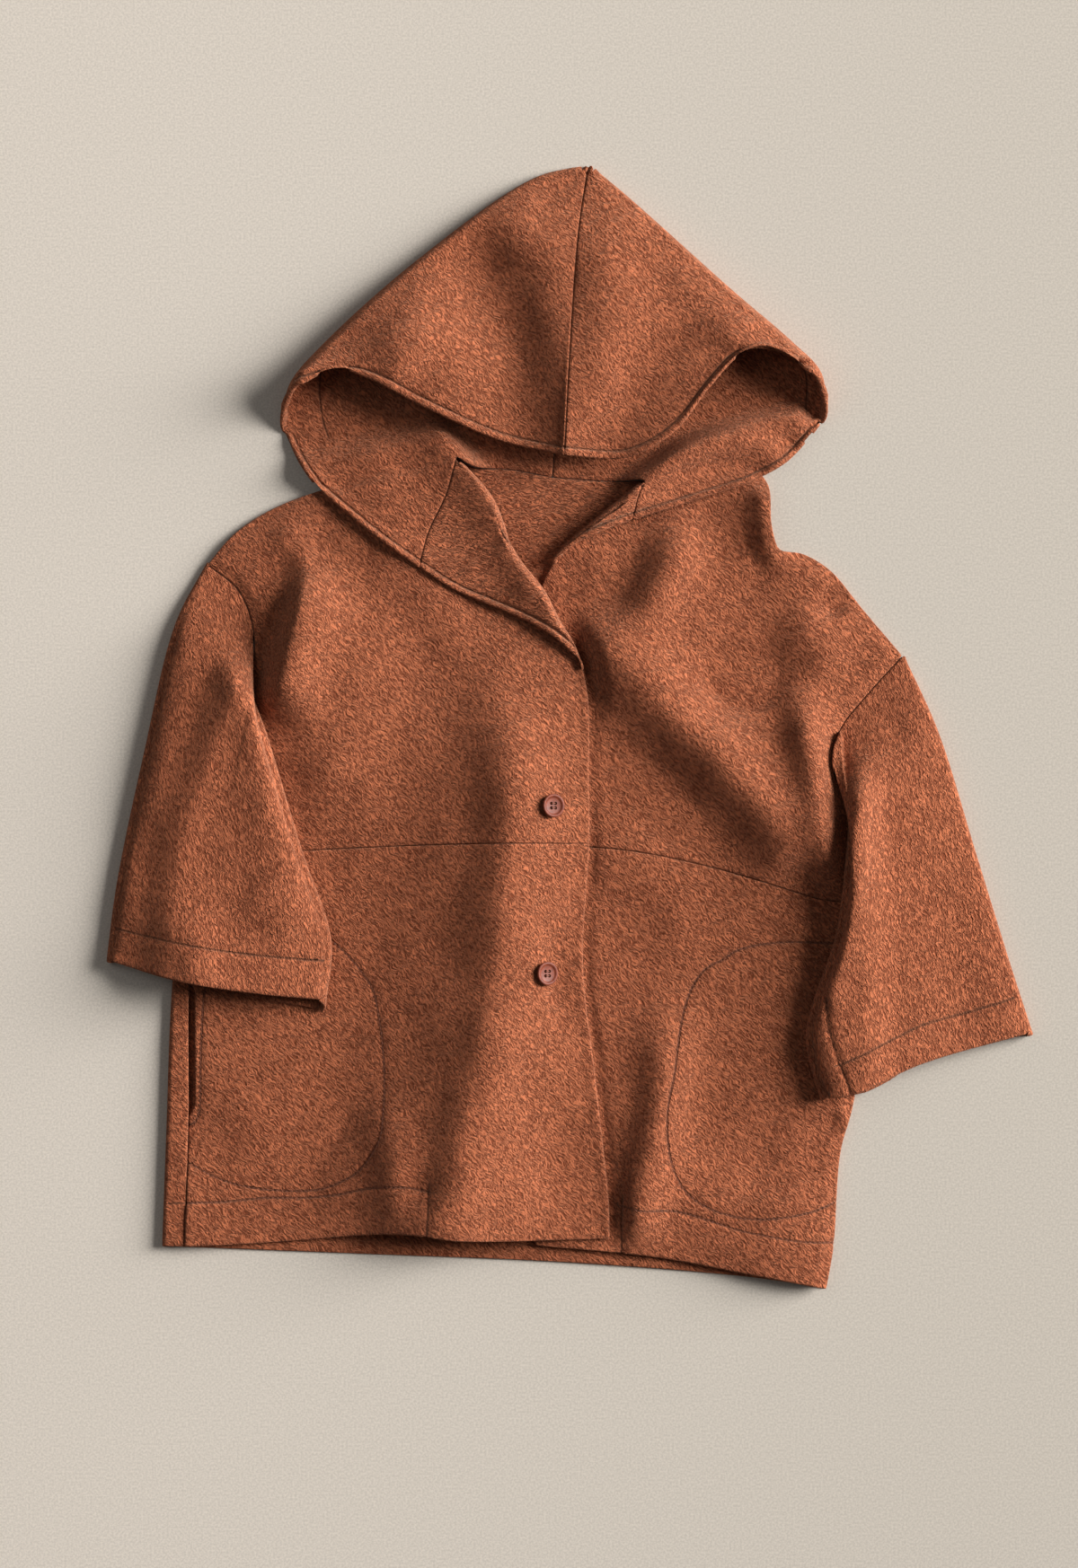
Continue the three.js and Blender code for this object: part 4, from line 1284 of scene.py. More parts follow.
@dataclass(frozen=True)
class WoolFinish:
    """Boiled wool.

    Args:
        name: name of the material.
        light: colour of the raised fibres, partly a painted highlight on them.
        dark: colour between them, partly painted shade.
        crease: painted shade colour in the crease of a line of stitches.
        crease_shade_share: how strongly that painted shade shows.
        angle: direction of the nap in radians.
        nap: depth of the nap in metres.
        marks: names of the stitch marks that the surface carries.
    """

    name: str
    light: tuple = (0.49, 0.147, 0.066, 1)
    dark: tuple = (0.17, 0.04, 0.016, 1)
    crease: tuple = (0.07, 0.018, 0.008, 1)
    crease_shade_share: float = 0.62
    angle: float = 0.75
    nap: float = 0.0022
    bump: float = 0.9
    roughness: float = 0.95
    specular: float = 0.12
    sheen: float = 0.3
    sheen_roughness: float = 0.55
    sheen_tint: tuple = (1.0, 0.6, 0.4, 1)
    marks: tuple[str, ...] = ("stitch_1", "stitch_2", "stitch_3", "stitch_4")

    def make(
        self, nap_tree: bpy.types.NodeTree, stitch_tree: bpy.types.NodeTree
    ) -> bpy.types.Material:
        """Builds the material.

        Args:
            nap_tree: the felt group.
            stitch_tree: the stitch group.

        Returns:
            The material.
        """
        material, g, shader = new_material(self.name)
        nap = g.add("ShaderNodeGroup", {"node_tree": nap_tree}, Angle=self.angle)
        # Painted shade between the fibres, mixed with a random tone.
        colour = g.blend(nap.outputs["ToneAndShade"], self.dark, self.light)
        height = nap.outputs["Height"]
        for mark in self.marks:
            line = g.add("ShaderNodeAttribute", {"attribute_name": mark})
            stitch = g.add("ShaderNodeGroup", {"node_tree": stitch_tree}, Line=line.outputs["Vector"])
            # Painted shade: the colour darkens in each stitch crease.
            shade = g.math("MULTIPLY", stitch.outputs["CreaseShade"], self.crease_shade_share)
            colour = g.blend(shade, colour, self.crease)
            height = g.math("ADD", height, stitch.outputs["Height"])
        bump = g.add("ShaderNodeBump", Strength=self.bump, Distance=self.nap, Height=height)
        g.fill(shader, {
            "Base Color": colour, "Normal": bump.outputs[0], "Roughness": self.roughness,
            "Specular IOR Level": self.specular, "Sheen Weight": self.sheen,
            "Sheen Roughness": self.sheen_roughness, "Sheen Tint": self.sheen_tint,
        })
        return material


@dataclass(frozen=True)
class ButtonFinish:
    """Satin red-brown resin.

    Args:
        colour: its colour.
        streak: colour of its darker streaks.
        roughness: least and greatest roughness.
        specular: strength of its shine.
    """

    colour: tuple = (0.19, 0.042, 0.02, 1)
    streak: tuple = (0.12, 0.025, 0.012, 1)
    roughness: tuple[float, float] = (0.42, 0.56)
    specular: float = 0.25

    def make(self) -> bpy.types.Material:
        """Builds the material.

        Returns:
            The material.
        """
        material, g, shader = new_material("resin")
        place = g.add("ShaderNodeTexCoord").outputs["Object"]
        cloud = g.add("ShaderNodeTexNoise", Vector=place, Scale=260.0, Detail=3.0, Distortion=1.2)
        colour = g.blend(g.span(cloud.outputs["Fac"], 0.35, 0.65), self.streak, self.colour)
        fine = g.add("ShaderNodeTexNoise", Vector=place, Scale=1500.0, Detail=2.0).outputs["Fac"]
        bump = g.add("ShaderNodeBump", Strength=0.25, Distance=0.0001, Height=fine)
        g.fill(shader, {
            "Base Color": colour, "Roughness": g.span(fine, 0.3, 0.7, self.roughness),
            "Normal": bump.outputs[0], "Specular IOR Level": self.specular,
        })
        return material


@dataclass(frozen=True)
class ThreadFinish:
    """Sewing thread in the wool's colour, with a painted highlight on the raised bands of its twist."""

    colour: tuple = (0.15, 0.04, 0.02, 1)
    twist_highlight: tuple = (0.27, 0.08, 0.04, 1)
    roughness: float = 0.6

    def make(self) -> bpy.types.Material:
        """Builds the material.

        Returns:
            The material.
        """
        material, g, shader = new_material("thread")
        place = g.add("ShaderNodeTexCoord").outputs["Object"]
        twist = g.add("ShaderNodeTexWave", {"bands_direction": "DIAGONAL"}, Vector=place, Scale=900.0)
        # Painted highlight: lighter colour on the twist's raised bands, the same bands as the bump.
        colour = g.blend(twist.outputs["Fac"], self.colour, self.twist_highlight)
        bump = g.add("ShaderNodeBump", Strength=0.4, Distance=0.0001, Height=twist.outputs["Fac"])
        g.fill(shader, {
            "Base Color": colour, "Normal": bump.outputs[0], "Roughness": self.roughness,
        })
        return material


@dataclass(frozen=True)
class Finishes:
    """Every material of the coat."""

    wool: bpy.types.Material
    sleeve: bpy.types.Material
    inside: bpy.types.Material
    resin: bpy.types.Material
    thread: bpy.types.Material


def make_finishes() -> Finishes:
    """Builds the coat's materials.

    Returns:
        The materials.
    """
    nap_tree, stitch_tree = Felt().make(), stitch_group()
    return Finishes(
        wool=WoolFinish("boiled_wool").make(nap_tree, stitch_tree),
        sleeve=WoolFinish("boiled_wool_sleeve", angle=1.2).make(nap_tree, stitch_tree),
        inside=WoolFinish("boiled_wool_inside", angle=0.2).make(nap_tree, stitch_tree),
        resin=ButtonFinish().make(),
        thread=ThreadFinish().make(),
    )


# Sub-assemblies


@dataclass
class Sewing:
    """Rows of thread on top of the cloth.

    Args:
        finish: the thread's material.
        spots: places along a stitch, as shares of its length.
        lift: height of the thread at each of them.
        fat: thickness of the thread at each of them, as a share of 1.
        sides: sides of the thread.
        cell: length of the steps along the line.
        sunk: how deep the thread lies in its groove.
    """

    finish: bpy.types.Material
    spots: tuple[float, ...] = (0.0, 0.18, 0.5, 0.82, 1.0)
    lift: tuple[float, ...] = (-0.35, 0.1, 0.3, 0.1, -0.35)
    fat: tuple[float, ...] = (0.4, 1.0, 1.0, 1.0, 0.4)
    sides: int = 5
    cell: float = 1.5
    sunk: float = 0.5

    def sew(self, name: str, points: Points, height: Height) -> None:
        """Lays stitches along a line on a surface that looks up.

        Args:
            name: name of the piece.
            points: the line's points.
            height: height of the middle of the cloth.
        """
        xy = along(points, steps_of(points, self.cell))
        line = np.column_stack([xy, height(xy) + HALF - self.sunk])
        way = lengths(line)
        starts = np.arange(STITCH_PITCH / 2, way[-1] - STITCH_LENGTH, STITCH_PITCH)
        turns = np.arange(self.sides)[:, None] * 2 * math.pi / self.sides
        up = np.array([0.0, 0.0, 1.0])
        rings, faces = [], []
        for start in starts:
            at = start + np.array(self.spots) * STITCH_LENGTH
            centre = np.column_stack([np.interp(at, way, line[:, k]) for k in range(3)])
            ahead = centre[-1] - centre[0]
            side = np.cross(up, ahead / np.linalg.norm(ahead))
            faces += tube_faces(len(rings) * self.sides, len(centre), self.sides)
            for spot, lift, fat in zip(centre, self.lift, self.fat):
                ring = THREAD_RADIUS * fat * (np.cos(turns) * side + np.sin(turns) * up)
                rings.append(spot + up * lift + ring)
        thing = new_object(name, np.vstack(rings), faces)
        thing.data.shade_smooth()
        thing.data.materials.append(self.finish)
        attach(thing, "root")
        LOG.info("%s: %d stitches", name, len(starts))


@dataclass
class Fronts:
    """The four front panels and both lapels, with their hems and pocket stitching."""

    shape: Shape
    finishes: Finishes
    sewing: Sewing
    relax: int = 60
    roll_fullness: float = 0.4
    turn_taper: float = 0.3
    turn_least: float = 1.0
    turn_share: float = 0.28
    mouth_top: float = -190.0
    mouth_bottom: float = -296.0
    mouth_open: float = 4.5
    mouth_fade: float = 12.0
    edge_width: float = 6.0
    edge_rise: float = 0.5
    tip_reach: float = 15.0
    tip_drop: float = 2.0
    tip_thinner: float = 0.9
    facing_dent: float = 1.0
    facing_width: float = 1.4
    pocket_r: Points = (
        (-178.5, -161.5), (-168, -171), (-157, -184), (-148, -198), (-143, -220), (-140, -245),
        (-139, -267), (-140, -292), (-142.5, -311), (-150, -325), (-159, -336), (-172, -344),
        (-189, -350), (-206, -351), (-227, -350), (-251, -346), (-270, -339), (-286, -330),
    )
    mouth_stitch: Points = (
        (-272, -186), (-275.5, -205), (-278, -250), (-279, -290), (-281.5, -298), (-287, -301),
    )
    hem_stitch_r: Points = (
        (-288, -360), (-259, -359), (-227, -356), (-196, -356), (-172, -353), (-150, -348.5),
        (-123, -347.5), (-105, -350.5),
    )
    facing_r: Points = ((-105, -346), (-106, -366), (-107, -386))
    pocket_l: Points = (
        (205, -164), (159, -163), (127.5, -169), (117, -176), (105, -182), (96.5, -192),
        (90, -206), (85, -226), (80, -263.5), (75, -289), (75, -311), (78, -329), (85, -346),
        (95, -357), (110, -365.5), (134, -371.6), (157, -371.6), (185, -366.5), (201, -360),
    )
    hem_stitch_l: Points = (
        (40, -362), (54, -365.5), (83, -366.5), (103, -372), (127, -380), (151, -385), (176, -389),
        (202, -390),
    )
    facing_l: Points = ((41, -358), (40.5, -378), (40, -399))
    slit: Points = ((-50, 148), (-46, 141), (-39.5, 136))
    crumples: tuple[Fold, ...] = (
        Fold(((-47, 158), (-38, 143), (-31, 130)), 7, 3.5),
        Fold(((-60, 150), (-52, 132)), 8, -1.5),
        Fold(((-78, 128), (-66, 112)), 9, 1.5),
        Fold(((-40, 112), (-24, 96)), 9, 1.5),
    )

    def roll_edge(self, roll: Array, lapel_edge: Array, left: bool) -> Array:
        """Edge of a front beside its roll line.

        Args:
            roll: the roll line.
            lapel_edge: the lapel's free edge, in as many steps.
            left: True for the wearer's left.

        Returns:
            The edge's points, clear of the turn to the lapel.
        """
        share = np.linspace(0, 1, len(roll))
        taper = smooth(share / self.turn_taper) * smooth((1 - share) / self.turn_taper)
        rise = self.shape.collar(left)(roll) - self.shape.front(left)(roll)
        width = np.linalg.norm(lapel_edge - roll, axis=1)
        full = np.maximum(
            self.turn_least, np.minimum(rise * self.roll_fullness, width * self.turn_share)
        )
        depth = mix(self.turn_least, full, taper)
        return roll + right_of(roll) * (-1 if left else 1) * depth[:, None]

    def upper(self, left: bool) -> None:
        """Builds an upper front.

        Args:
            left: True for the wearer's left.
        """
        p, s = self.shape.pattern, self.shape
        seams = p.seams()
        side = "l" if left else "r"
        roll = p.line("roll_" + side)
        edge = self.roll_edge(roll, p.steps("lapel_edge_" + side, len(roll) - 1), left)
        lap = seams["underlap" if left else "overlap"]
        lap_line = along([tuple(edge[-1]), *lap[1:]], steps_of(lap))
        inner = chain(edge, lap_line)
        shoulder = seams["shoulder_" + side]
        top = [tuple(edge[0]), *shoulder[1:]] if left else [*shoulder[:-1], tuple(edge[0])]
        columns = steps_of(seams["waist_" + side])
        armhole = seams["armhole_" + side]
        flank = seams["side_l" if left else "front_side_r"]
        share = lengths(np.asarray(armhole, float))[-1]
        share /= share + lengths(np.asarray(flank, float))[-1]
        armhole_steps = round((len(inner) - 1) * share)
        outer = chain(along(armhole, armhole_steps), along(flank, len(inner) - 1 - armhole_steps))
        near = along(top, columns)
        far = p.steps("waist_" + side, columns)
        points = net(near, far, inner, outer) if left else net(near, far, outer, inner)
        points = inset(relaxed(points, self.relax))
        grid = level(points, (s.laid_l if left else s.laid_r)(points), 1)
        if not left:
            self.edge_of_lap(grid)
        dress(
            "front_upper_" + side, Slot.WOOL, self.finishes.wool, [grid]
        )

    def edge_of_lap(self, grid: Grid) -> None:
        """Lifts and thickens the top front along its free edge, and lowers it below the lapel's tip.

        Args:
            grid: the cloth of the front.
        """
        seams = self.shape.pattern.seams()
        edge = along([*seams["overlap"], *seams["lower_edge_r"][1:]], 40)
        distance = distance_to(edge, grid.mid[..., :2])
        doubled(grid, distance, self.edge_width, HEM_FULLNESS)
        grid.mid[..., 2] += self.edge_rise * smooth((self.edge_width - distance) / self.edge_width)
        tip = np.linalg.norm(grid.mid[..., :2] - self.shape.pattern.break_r, axis=-1)
        under_tip = np.exp(-((tip / self.tip_reach) ** 2))
        grid.mid[..., 2] -= self.tip_drop * under_tip

    def lower_r(self) -> None:
        """Builds the lower front on the wearer's right, with its pocket mouth standing open."""
        p, s = self.shape.pattern, self.shape
        rows = steps_of(p.seams()["side_seam_r"])
        columns = steps_of(p.seams()["waist_r"])
        seam = p.steps("side_seam_r", rows)
        share = smooth((self.mouth_top - seam[:, 1]) / self.mouth_fade)
        share *= smooth((seam[:, 1] - self.mouth_bottom) / self.mouth_fade)
        seam[:, 0] += self.mouth_open * share
        points = net(
            p.steps("waist_r", columns), p.steps("hem_r", columns), seam, p.steps("lower_edge_r", rows)
        )
        points = inset(points)
        grid = level(points, s.laid_r(points), 1)
        self.edge_of_lap(grid)
        self.stitched("r", grid, s.laid_r, self.facing_r, (
            ("pocket_stitches_r", self.pocket_r, 60), ("hem_stitches_r", self.hem_stitch_r, 40),
            ("pocket_mouth_stitches", self.mouth_stitch, 30),
        ))

    def lower_l(self) -> None:
        """Builds the lower front on the wearer's left."""
        p, s = self.shape.pattern, self.shape
        rows = steps_of(p.seams()["lower_side_l"])
        columns = steps_of(p.seams()["waist_l"])
        points = net(
            p.steps("waist_l", columns), p.steps("hem_l", columns), p.steps("lower_edge_l", rows),
            p.steps("lower_side_l", rows),
        )
        points = inset(points)
        self.stitched("l", level(points, s.laid_l(points), 1), s.laid_l, self.facing_l, (
            ("pocket_stitches_l", self.pocket_l, 60), ("hem_stitches_l", self.hem_stitch_l, 40),
        ))

    def stitched(
        self, side: str, grid: Grid, height: Height, facing: Points, rows: tuple
    ) -> None:
        """Turns up the hem of a lower front, stitches it and puts it in its place.

        Args:
            side: r or l.
            grid: the cloth.
            height: height of the middle of the cloth.
            facing: seam of the facing in the hem.
            rows: name, points and steps of each row of stitches.
        """
        hem = self.shape.pattern.line("hem_" + side)
        doubled(grid, distance_to(hem, grid.mid[..., :2]), HEM_DEPTH, HEM_FULLNESS)
        for number, (_, points, steps) in enumerate(rows, 1):
            Stitch(along(points, steps)).press(grid, f"stitch_{number}")
        seam = Stitch(along(facing, 12), self.facing_dent, self.facing_width)
        seam.press(grid, f"stitch_{len(rows) + 1}")
        dress(
            "front_lower_" + side, Slot.WOOL, self.finishes.wool, [grid]
        )
        for name, points, _ in rows:
            self.sewing.sew(name, points, height)

    def lapel(self, left: bool) -> None:
        """Builds a front facing where it turns back over the front.

        Args:
            left: True for the wearer's left.
        """
        p, s = self.shape.pattern, self.shape
        side = "l" if left else "r"
        inward = -1 if left else 1
        front, collar = s.front(left), s.collar(left)
        roll = p.line("roll_" + side)
        rows = len(roll) - 1
        gorge = p.line("gorge_seam_" + side)
        outer = p.steps("lapel_edge_" + side, rows)
        edge = self.roll_edge(roll, outer, left)
        start = edge - right_of(roll) * inward * SEAM_GAP
        near = np.vstack([start[:1], gorge[::-1][1:]])
        far = along([tuple(start[-1]), tuple(outer[-1])], len(gorge) - 1)
        outer[0] = near[-1]
        points = inset(net(near, far, start, outer), "near far last", by=RIM)
        over = level(points, collar(points), 1)
        under = level(start[:, None], front(start)[:, None], -1)
        depth = np.linalg.norm(start - roll, axis=1)
        arc = turn(under, over, -right_of(roll) * inward, depth, TURN_STEPS)
        grid = beside(under, arc, over)
        rim = p.line("lapel_edge_" + side)
        distance = distance_to(rim, grid.mid[..., :2])
        on_top = grid.out[..., 2] > LOOKS_UP
        doubled(grid, np.where(on_top, distance, FAR), BRIM_STITCH)
        grid.dent += np.where(on_top, groove(distance), 0)
        if not left:
            tip = np.linalg.norm(grid.mid[..., :2] - p.break_r, axis=-1)
            at_tip = np.exp(-((tip / self.tip_reach) ** 2))
            grid.mid[..., 2] -= self.tip_drop * at_tip
            grid.dent += self.tip_thinner * at_tip
            grid.mid[..., 2] += on_top * fold_height(self.crumples, grid.mid[..., :2])
            Stitch(along(self.slit, 8), dent=1.8, width=1.5).press(grid, "stitch_2")
        grid.marks["stitch_1"] = np.dstack([distance - BRIM_STITCH, on_top * 1.0, distance])
        dress("lapel_" + side, Slot.INSIDE, self.finishes.inside, [grid])

    def build(self) -> None:
        """Builds every front piece."""
        for left in (False, True):
            self.upper(left)
            self.lapel(left)
        self.lower_r()
        self.lower_l()


@dataclass
class Back:
    """The back, flat on the floor; its lower half turns up round the wearer's right side."""

    shape: Shape
    finishes: Finishes
    wrap: float = (FRONT_Z - BACK_Z) / 2
    strip_columns: int = 6
    strip_stitch: Points = ((-304.5, -360.5), (-293, -360))

    def upper(self) -> None:
        """Builds the upper back."""
        p = self.shape.pattern
        cell = HIDDEN_CELL
        neck = chain(p.line("neck_seam_r", cell), p.line("neck_seam_l", cell)[::-1])
        near = chain(p.line("shoulder_r", cell), neck, p.line("shoulder_l", cell))
        rows = steps_of([*p.seams()["armhole_r"], *p.seams()["back_side_r"][1:]], cell)
        armhole = rows // 2
        points = net(
            near, p.steps("waist_back", len(near) - 1),
            chain(p.steps("armhole_r", armhole), p.steps("back_side_r", rows - armhole)),
            chain(p.steps("armhole_l", armhole), p.steps("side_l", rows - armhole)),
        )
        points = inset(points)
        grid = level(points, np.full(points.shape[:2], BACK_Z), 1)
        dress("back_upper", Slot.INSIDE, self.finishes.inside, [grid])

    def lower(self) -> None:
        """Builds the lower back with the strip that shows beside the side seam."""
        p = self.shape.pattern
        cell = HIDDEN_CELL
        fold = p.line("side_fold_r", cell)
        rows = len(fold) - 1
        start = fold + np.array([self.wrap, 0.0])
        waist = [tuple(start[0]), *p.seams()["waist_back"][1:]]
        hem = [tuple(start[-1]), *p.seams()["hem_back"][1:]]
        columns = steps_of(waist, cell)
        points = inset(
            net(along(waist, columns), along(hem, columns), start, p.steps("lower_side_l", rows)),
            "near far last",
        )
        under = level(points, np.full(points.shape[:2], BACK_Z), -1)
        seam = p.steps("side_seam_r", rows)[:, 0] - SEAM_GAP / 2 - RIM
        share = np.linspace(0, 1, self.strip_columns + 1)[None, :]
        strip_x = mix(seam[:, None], points[:, :1, 0], share)
        strip_y = np.broadcast_to(points[:, :1, 1], strip_x.shape)
        strip_xy = np.dstack([strip_x, strip_y])
        strip = level(strip_xy, np.full(strip_x.shape, FRONT_Z), 1)
        Stitch(along(self.strip_stitch, 6)).press(strip, "stitch_1")
        outward = np.tile([-1.0, 0.0], (rows + 1, 1))
        arc = turn(strip, under, outward, self.wrap, TURN_STEPS)
        grid = beside(strip, arc, under)
        dress("back_lower", Slot.WOOL, self.finishes.wool, [grid])

    def build(self) -> None:
        """Builds both back pieces."""
        self.upper()
        self.lower()


@dataclass(frozen=True)
class SleeveCut:
    """What differs from one sleeve to the other.

    Args:
        cuff_stitch: points of the stitches of the cuff's hem.
        peep: how far the under layer shows below the cuff.
        creases: points, depth and half-width of each crease in the top layer.
        crest: where the sleeve is fullest: 1 in the middle, more towards its inner edge.
    """

    cuff_stitch: Points
    peep: Fold
    creases: tuple[tuple, ...] = ()
    crest: float = 1.0


SLEEVE_R = SleeveCut(
    cuff_stitch=((-348, -150), (-346, -151), (-285, -165), (-237, -172), (-180.5, -177)),
    peep=Fold(((-262, -200), (-205, -208), (-186, -206)), 24, 2, 8, 0.0, (0.4, 0)),
)
SLEEVE_L = SleeveCut(
    cuff_stitch=(
        (204, -255), (215, -250.6), (244.5, -236), (268, -225), (304, -215), (330, -207), (343, -202),
    ),
    peep=Fold(((205, -275), (260, -256)), 16, 3),
    creases=(
        (((194.6, -207), (196, -225), (202, -246), (208, -263), (213, -277)), 1.6, 1.6),
        (((186, -212), (184, -235), (189, -262), (197, -279)), 0.9, 1.3),
    ),
    crest=2.2,
)


@dataclass
class Sleeve:
    """A set-in sleeve, two layers joined round both edges and open at both ends.

    Args:
        relax: rounds that even out its net.
        loft: distance between its layers.
        puff: how far its top layer arches.
        head: share of its length over which it opens below the armhole.
        roundness: exponent of the arch, smaller is fuller.
        under_cell: length of the steps across the under layer.
        peep_from: share of its length below which the under layer shows.
    """

    shape: Shape
    finishes: Finishes
    left: bool
    cut: SleeveCut
    relax: int = 500
    loft: float = 7.5
    puff: float = 10.0
    head: float = 0.22
    roundness: float = 0.42
    under_cell: float = 6.0
    peep_from: float = 0.75

    def build(self) -> None:
        """Builds the sleeve."""
        p, s = self.shape.pattern, self.shape
        side_name = "l" if self.left else "r"
        folds = s.folds.sleeve_l if self.left else s.folds.sleeve_r
        line = s.side_l if self.left else s.side_r
        front = s.front(self.left)
        body_side = -1 if self.left else 1
        sign = 1 if self.left else -1
        seams = p.seams()
        rows = steps_of(seams["sleeve_inner_" + side_name])
        v = np.linspace(0, 1, rows + 1)[:, None]
        layer = mix(SLEEVE_LAYER, self.loft, smooth(v / self.head))
        half = layer / 2
        columns = steps_of(seams["cuff_" + side_name])
        outer = p.steps("sleeve_outer_" + side_name, rows)
        inner = p.steps("sleeve_inner_" + side_name, rows)
        first = outer + right_of(outer) * sign * half
        last = inner - right_of(inner) * sign * half
        near = p.steps("armhole_" + side_name, columns)
        for tip, inside, edge in ((0, 1, first), (-1, -2, last)):
            ahead = near[inside] - near[tip]
            edge[0] = near[tip] + ahead * half[0] / np.linalg.norm(ahead)
            near[tip] = edge[0]
        far = p.steps("cuff_" + side_name, columns)
        far[0], far[-1] = first[-1], last[-1]
        points = relaxed(net(near, far, first, last), self.relax)
        points = inset(points, "near far")

        def low(xy: Array) -> Array:
            """Height of the under layer at each point."""
            over = np.maximum(BACK_Z + SLEEVE_OVER, front(xy) + LAYER_STEP)
            return s.climb(line, body_side, SLEEVE_RAMP, SLEEVE_FULL, over, xy)

        u = np.linspace(0, 1, columns + 1)[None, :]
        arch = np.sin(np.pi * u**self.cut.crest).clip(0) ** self.roundness
        puff = (self.puff + fold_height(folds, points) + drape(points)) * arch
        puff *= smooth(v / self.head)
        top = level(points, low(points) + layer + puff, 1)
        doubled(top, distance_to(p.line("cuff_" + side_name), points), CUFF_DEPTH, HEM_FULLNESS)
        Stitch(along(self.cut.cuff_stitch, 40)).press(top, "stitch_1")
        for number, (crease, dent, width) in enumerate(self.cut.creases, 2):
            Stitch(along(crease, 20), dent, width).press(top, f"stitch_{number}")
        skip = max(1, round(self.under_cell / CELL))
        picks = np.unique(np.append(np.arange(0, columns, skip), columns))[::-1]
        under_points = points[:, picks]
        peep = self.cut.peep.rise(under_points)
        peep = peep * smooth((v - self.peep_from) / (1 - self.peep_from))
        under_points = under_points - peep[..., None] * np.array([0.0, 1.0])
        bottom = level(under_points, low(under_points), -1)
        inner_out, outer_out = right_of(inner) * sign, -right_of(outer) * sign
        grid = beside(
            top, turn(top, bottom, inner_out, half[:, 0], TURN_STEPS),
            bottom, turn(bottom, top, outer_out, half[:, 0], TURN_STEPS),
        )
        dress(
            "sleeve_" + side_name, Slot.WOOL, self.finishes.sleeve, [grid], ring=True
        )


@dataclass(frozen=True)
class HoodSection:
    """The hood's form at a share of the way from its peak to its brim.

    Args:
        at: the share.
        centre: height of the centre seam.
        rise: rise of the side fold.
        above: how far the fold reaches in above.
        below: how far it reaches in below.
        slip: how far the brim slips round the fold.
    """

    at: float
    centre: float
    rise: float
    above: float
    below: float
    slip: float


HOOD_SECTIONS = (
    HoodSection(0, 7, 6, 3, 3, 0),
    HoodSection(0.35, 22, 13, 4, 4, 0),
    HoodSection(0.75, 32, 21, 6, 5, 1),
    HoodSection(1, 27, 29, 9, 5, 19),
)


def section(share: Array, column: str) -> Array:
    """A value of the hood's sections, eased from one to the next.

    Args:
        share: shares of the way to the brim.
        column: name of the value.

    Returns:
        The value at each share.
    """
    at = np.array([s.at for s in HOOD_SECTIONS])
    values = np.array([getattr(s, column) for s in HOOD_SECTIONS], float)
    k = np.clip(np.searchsorted(at, share, side="left"), 1, len(at) - 1)
    return mix(values[k - 1], values[k], smooth((share - at[k - 1]) / (at[k] - at[k - 1])))


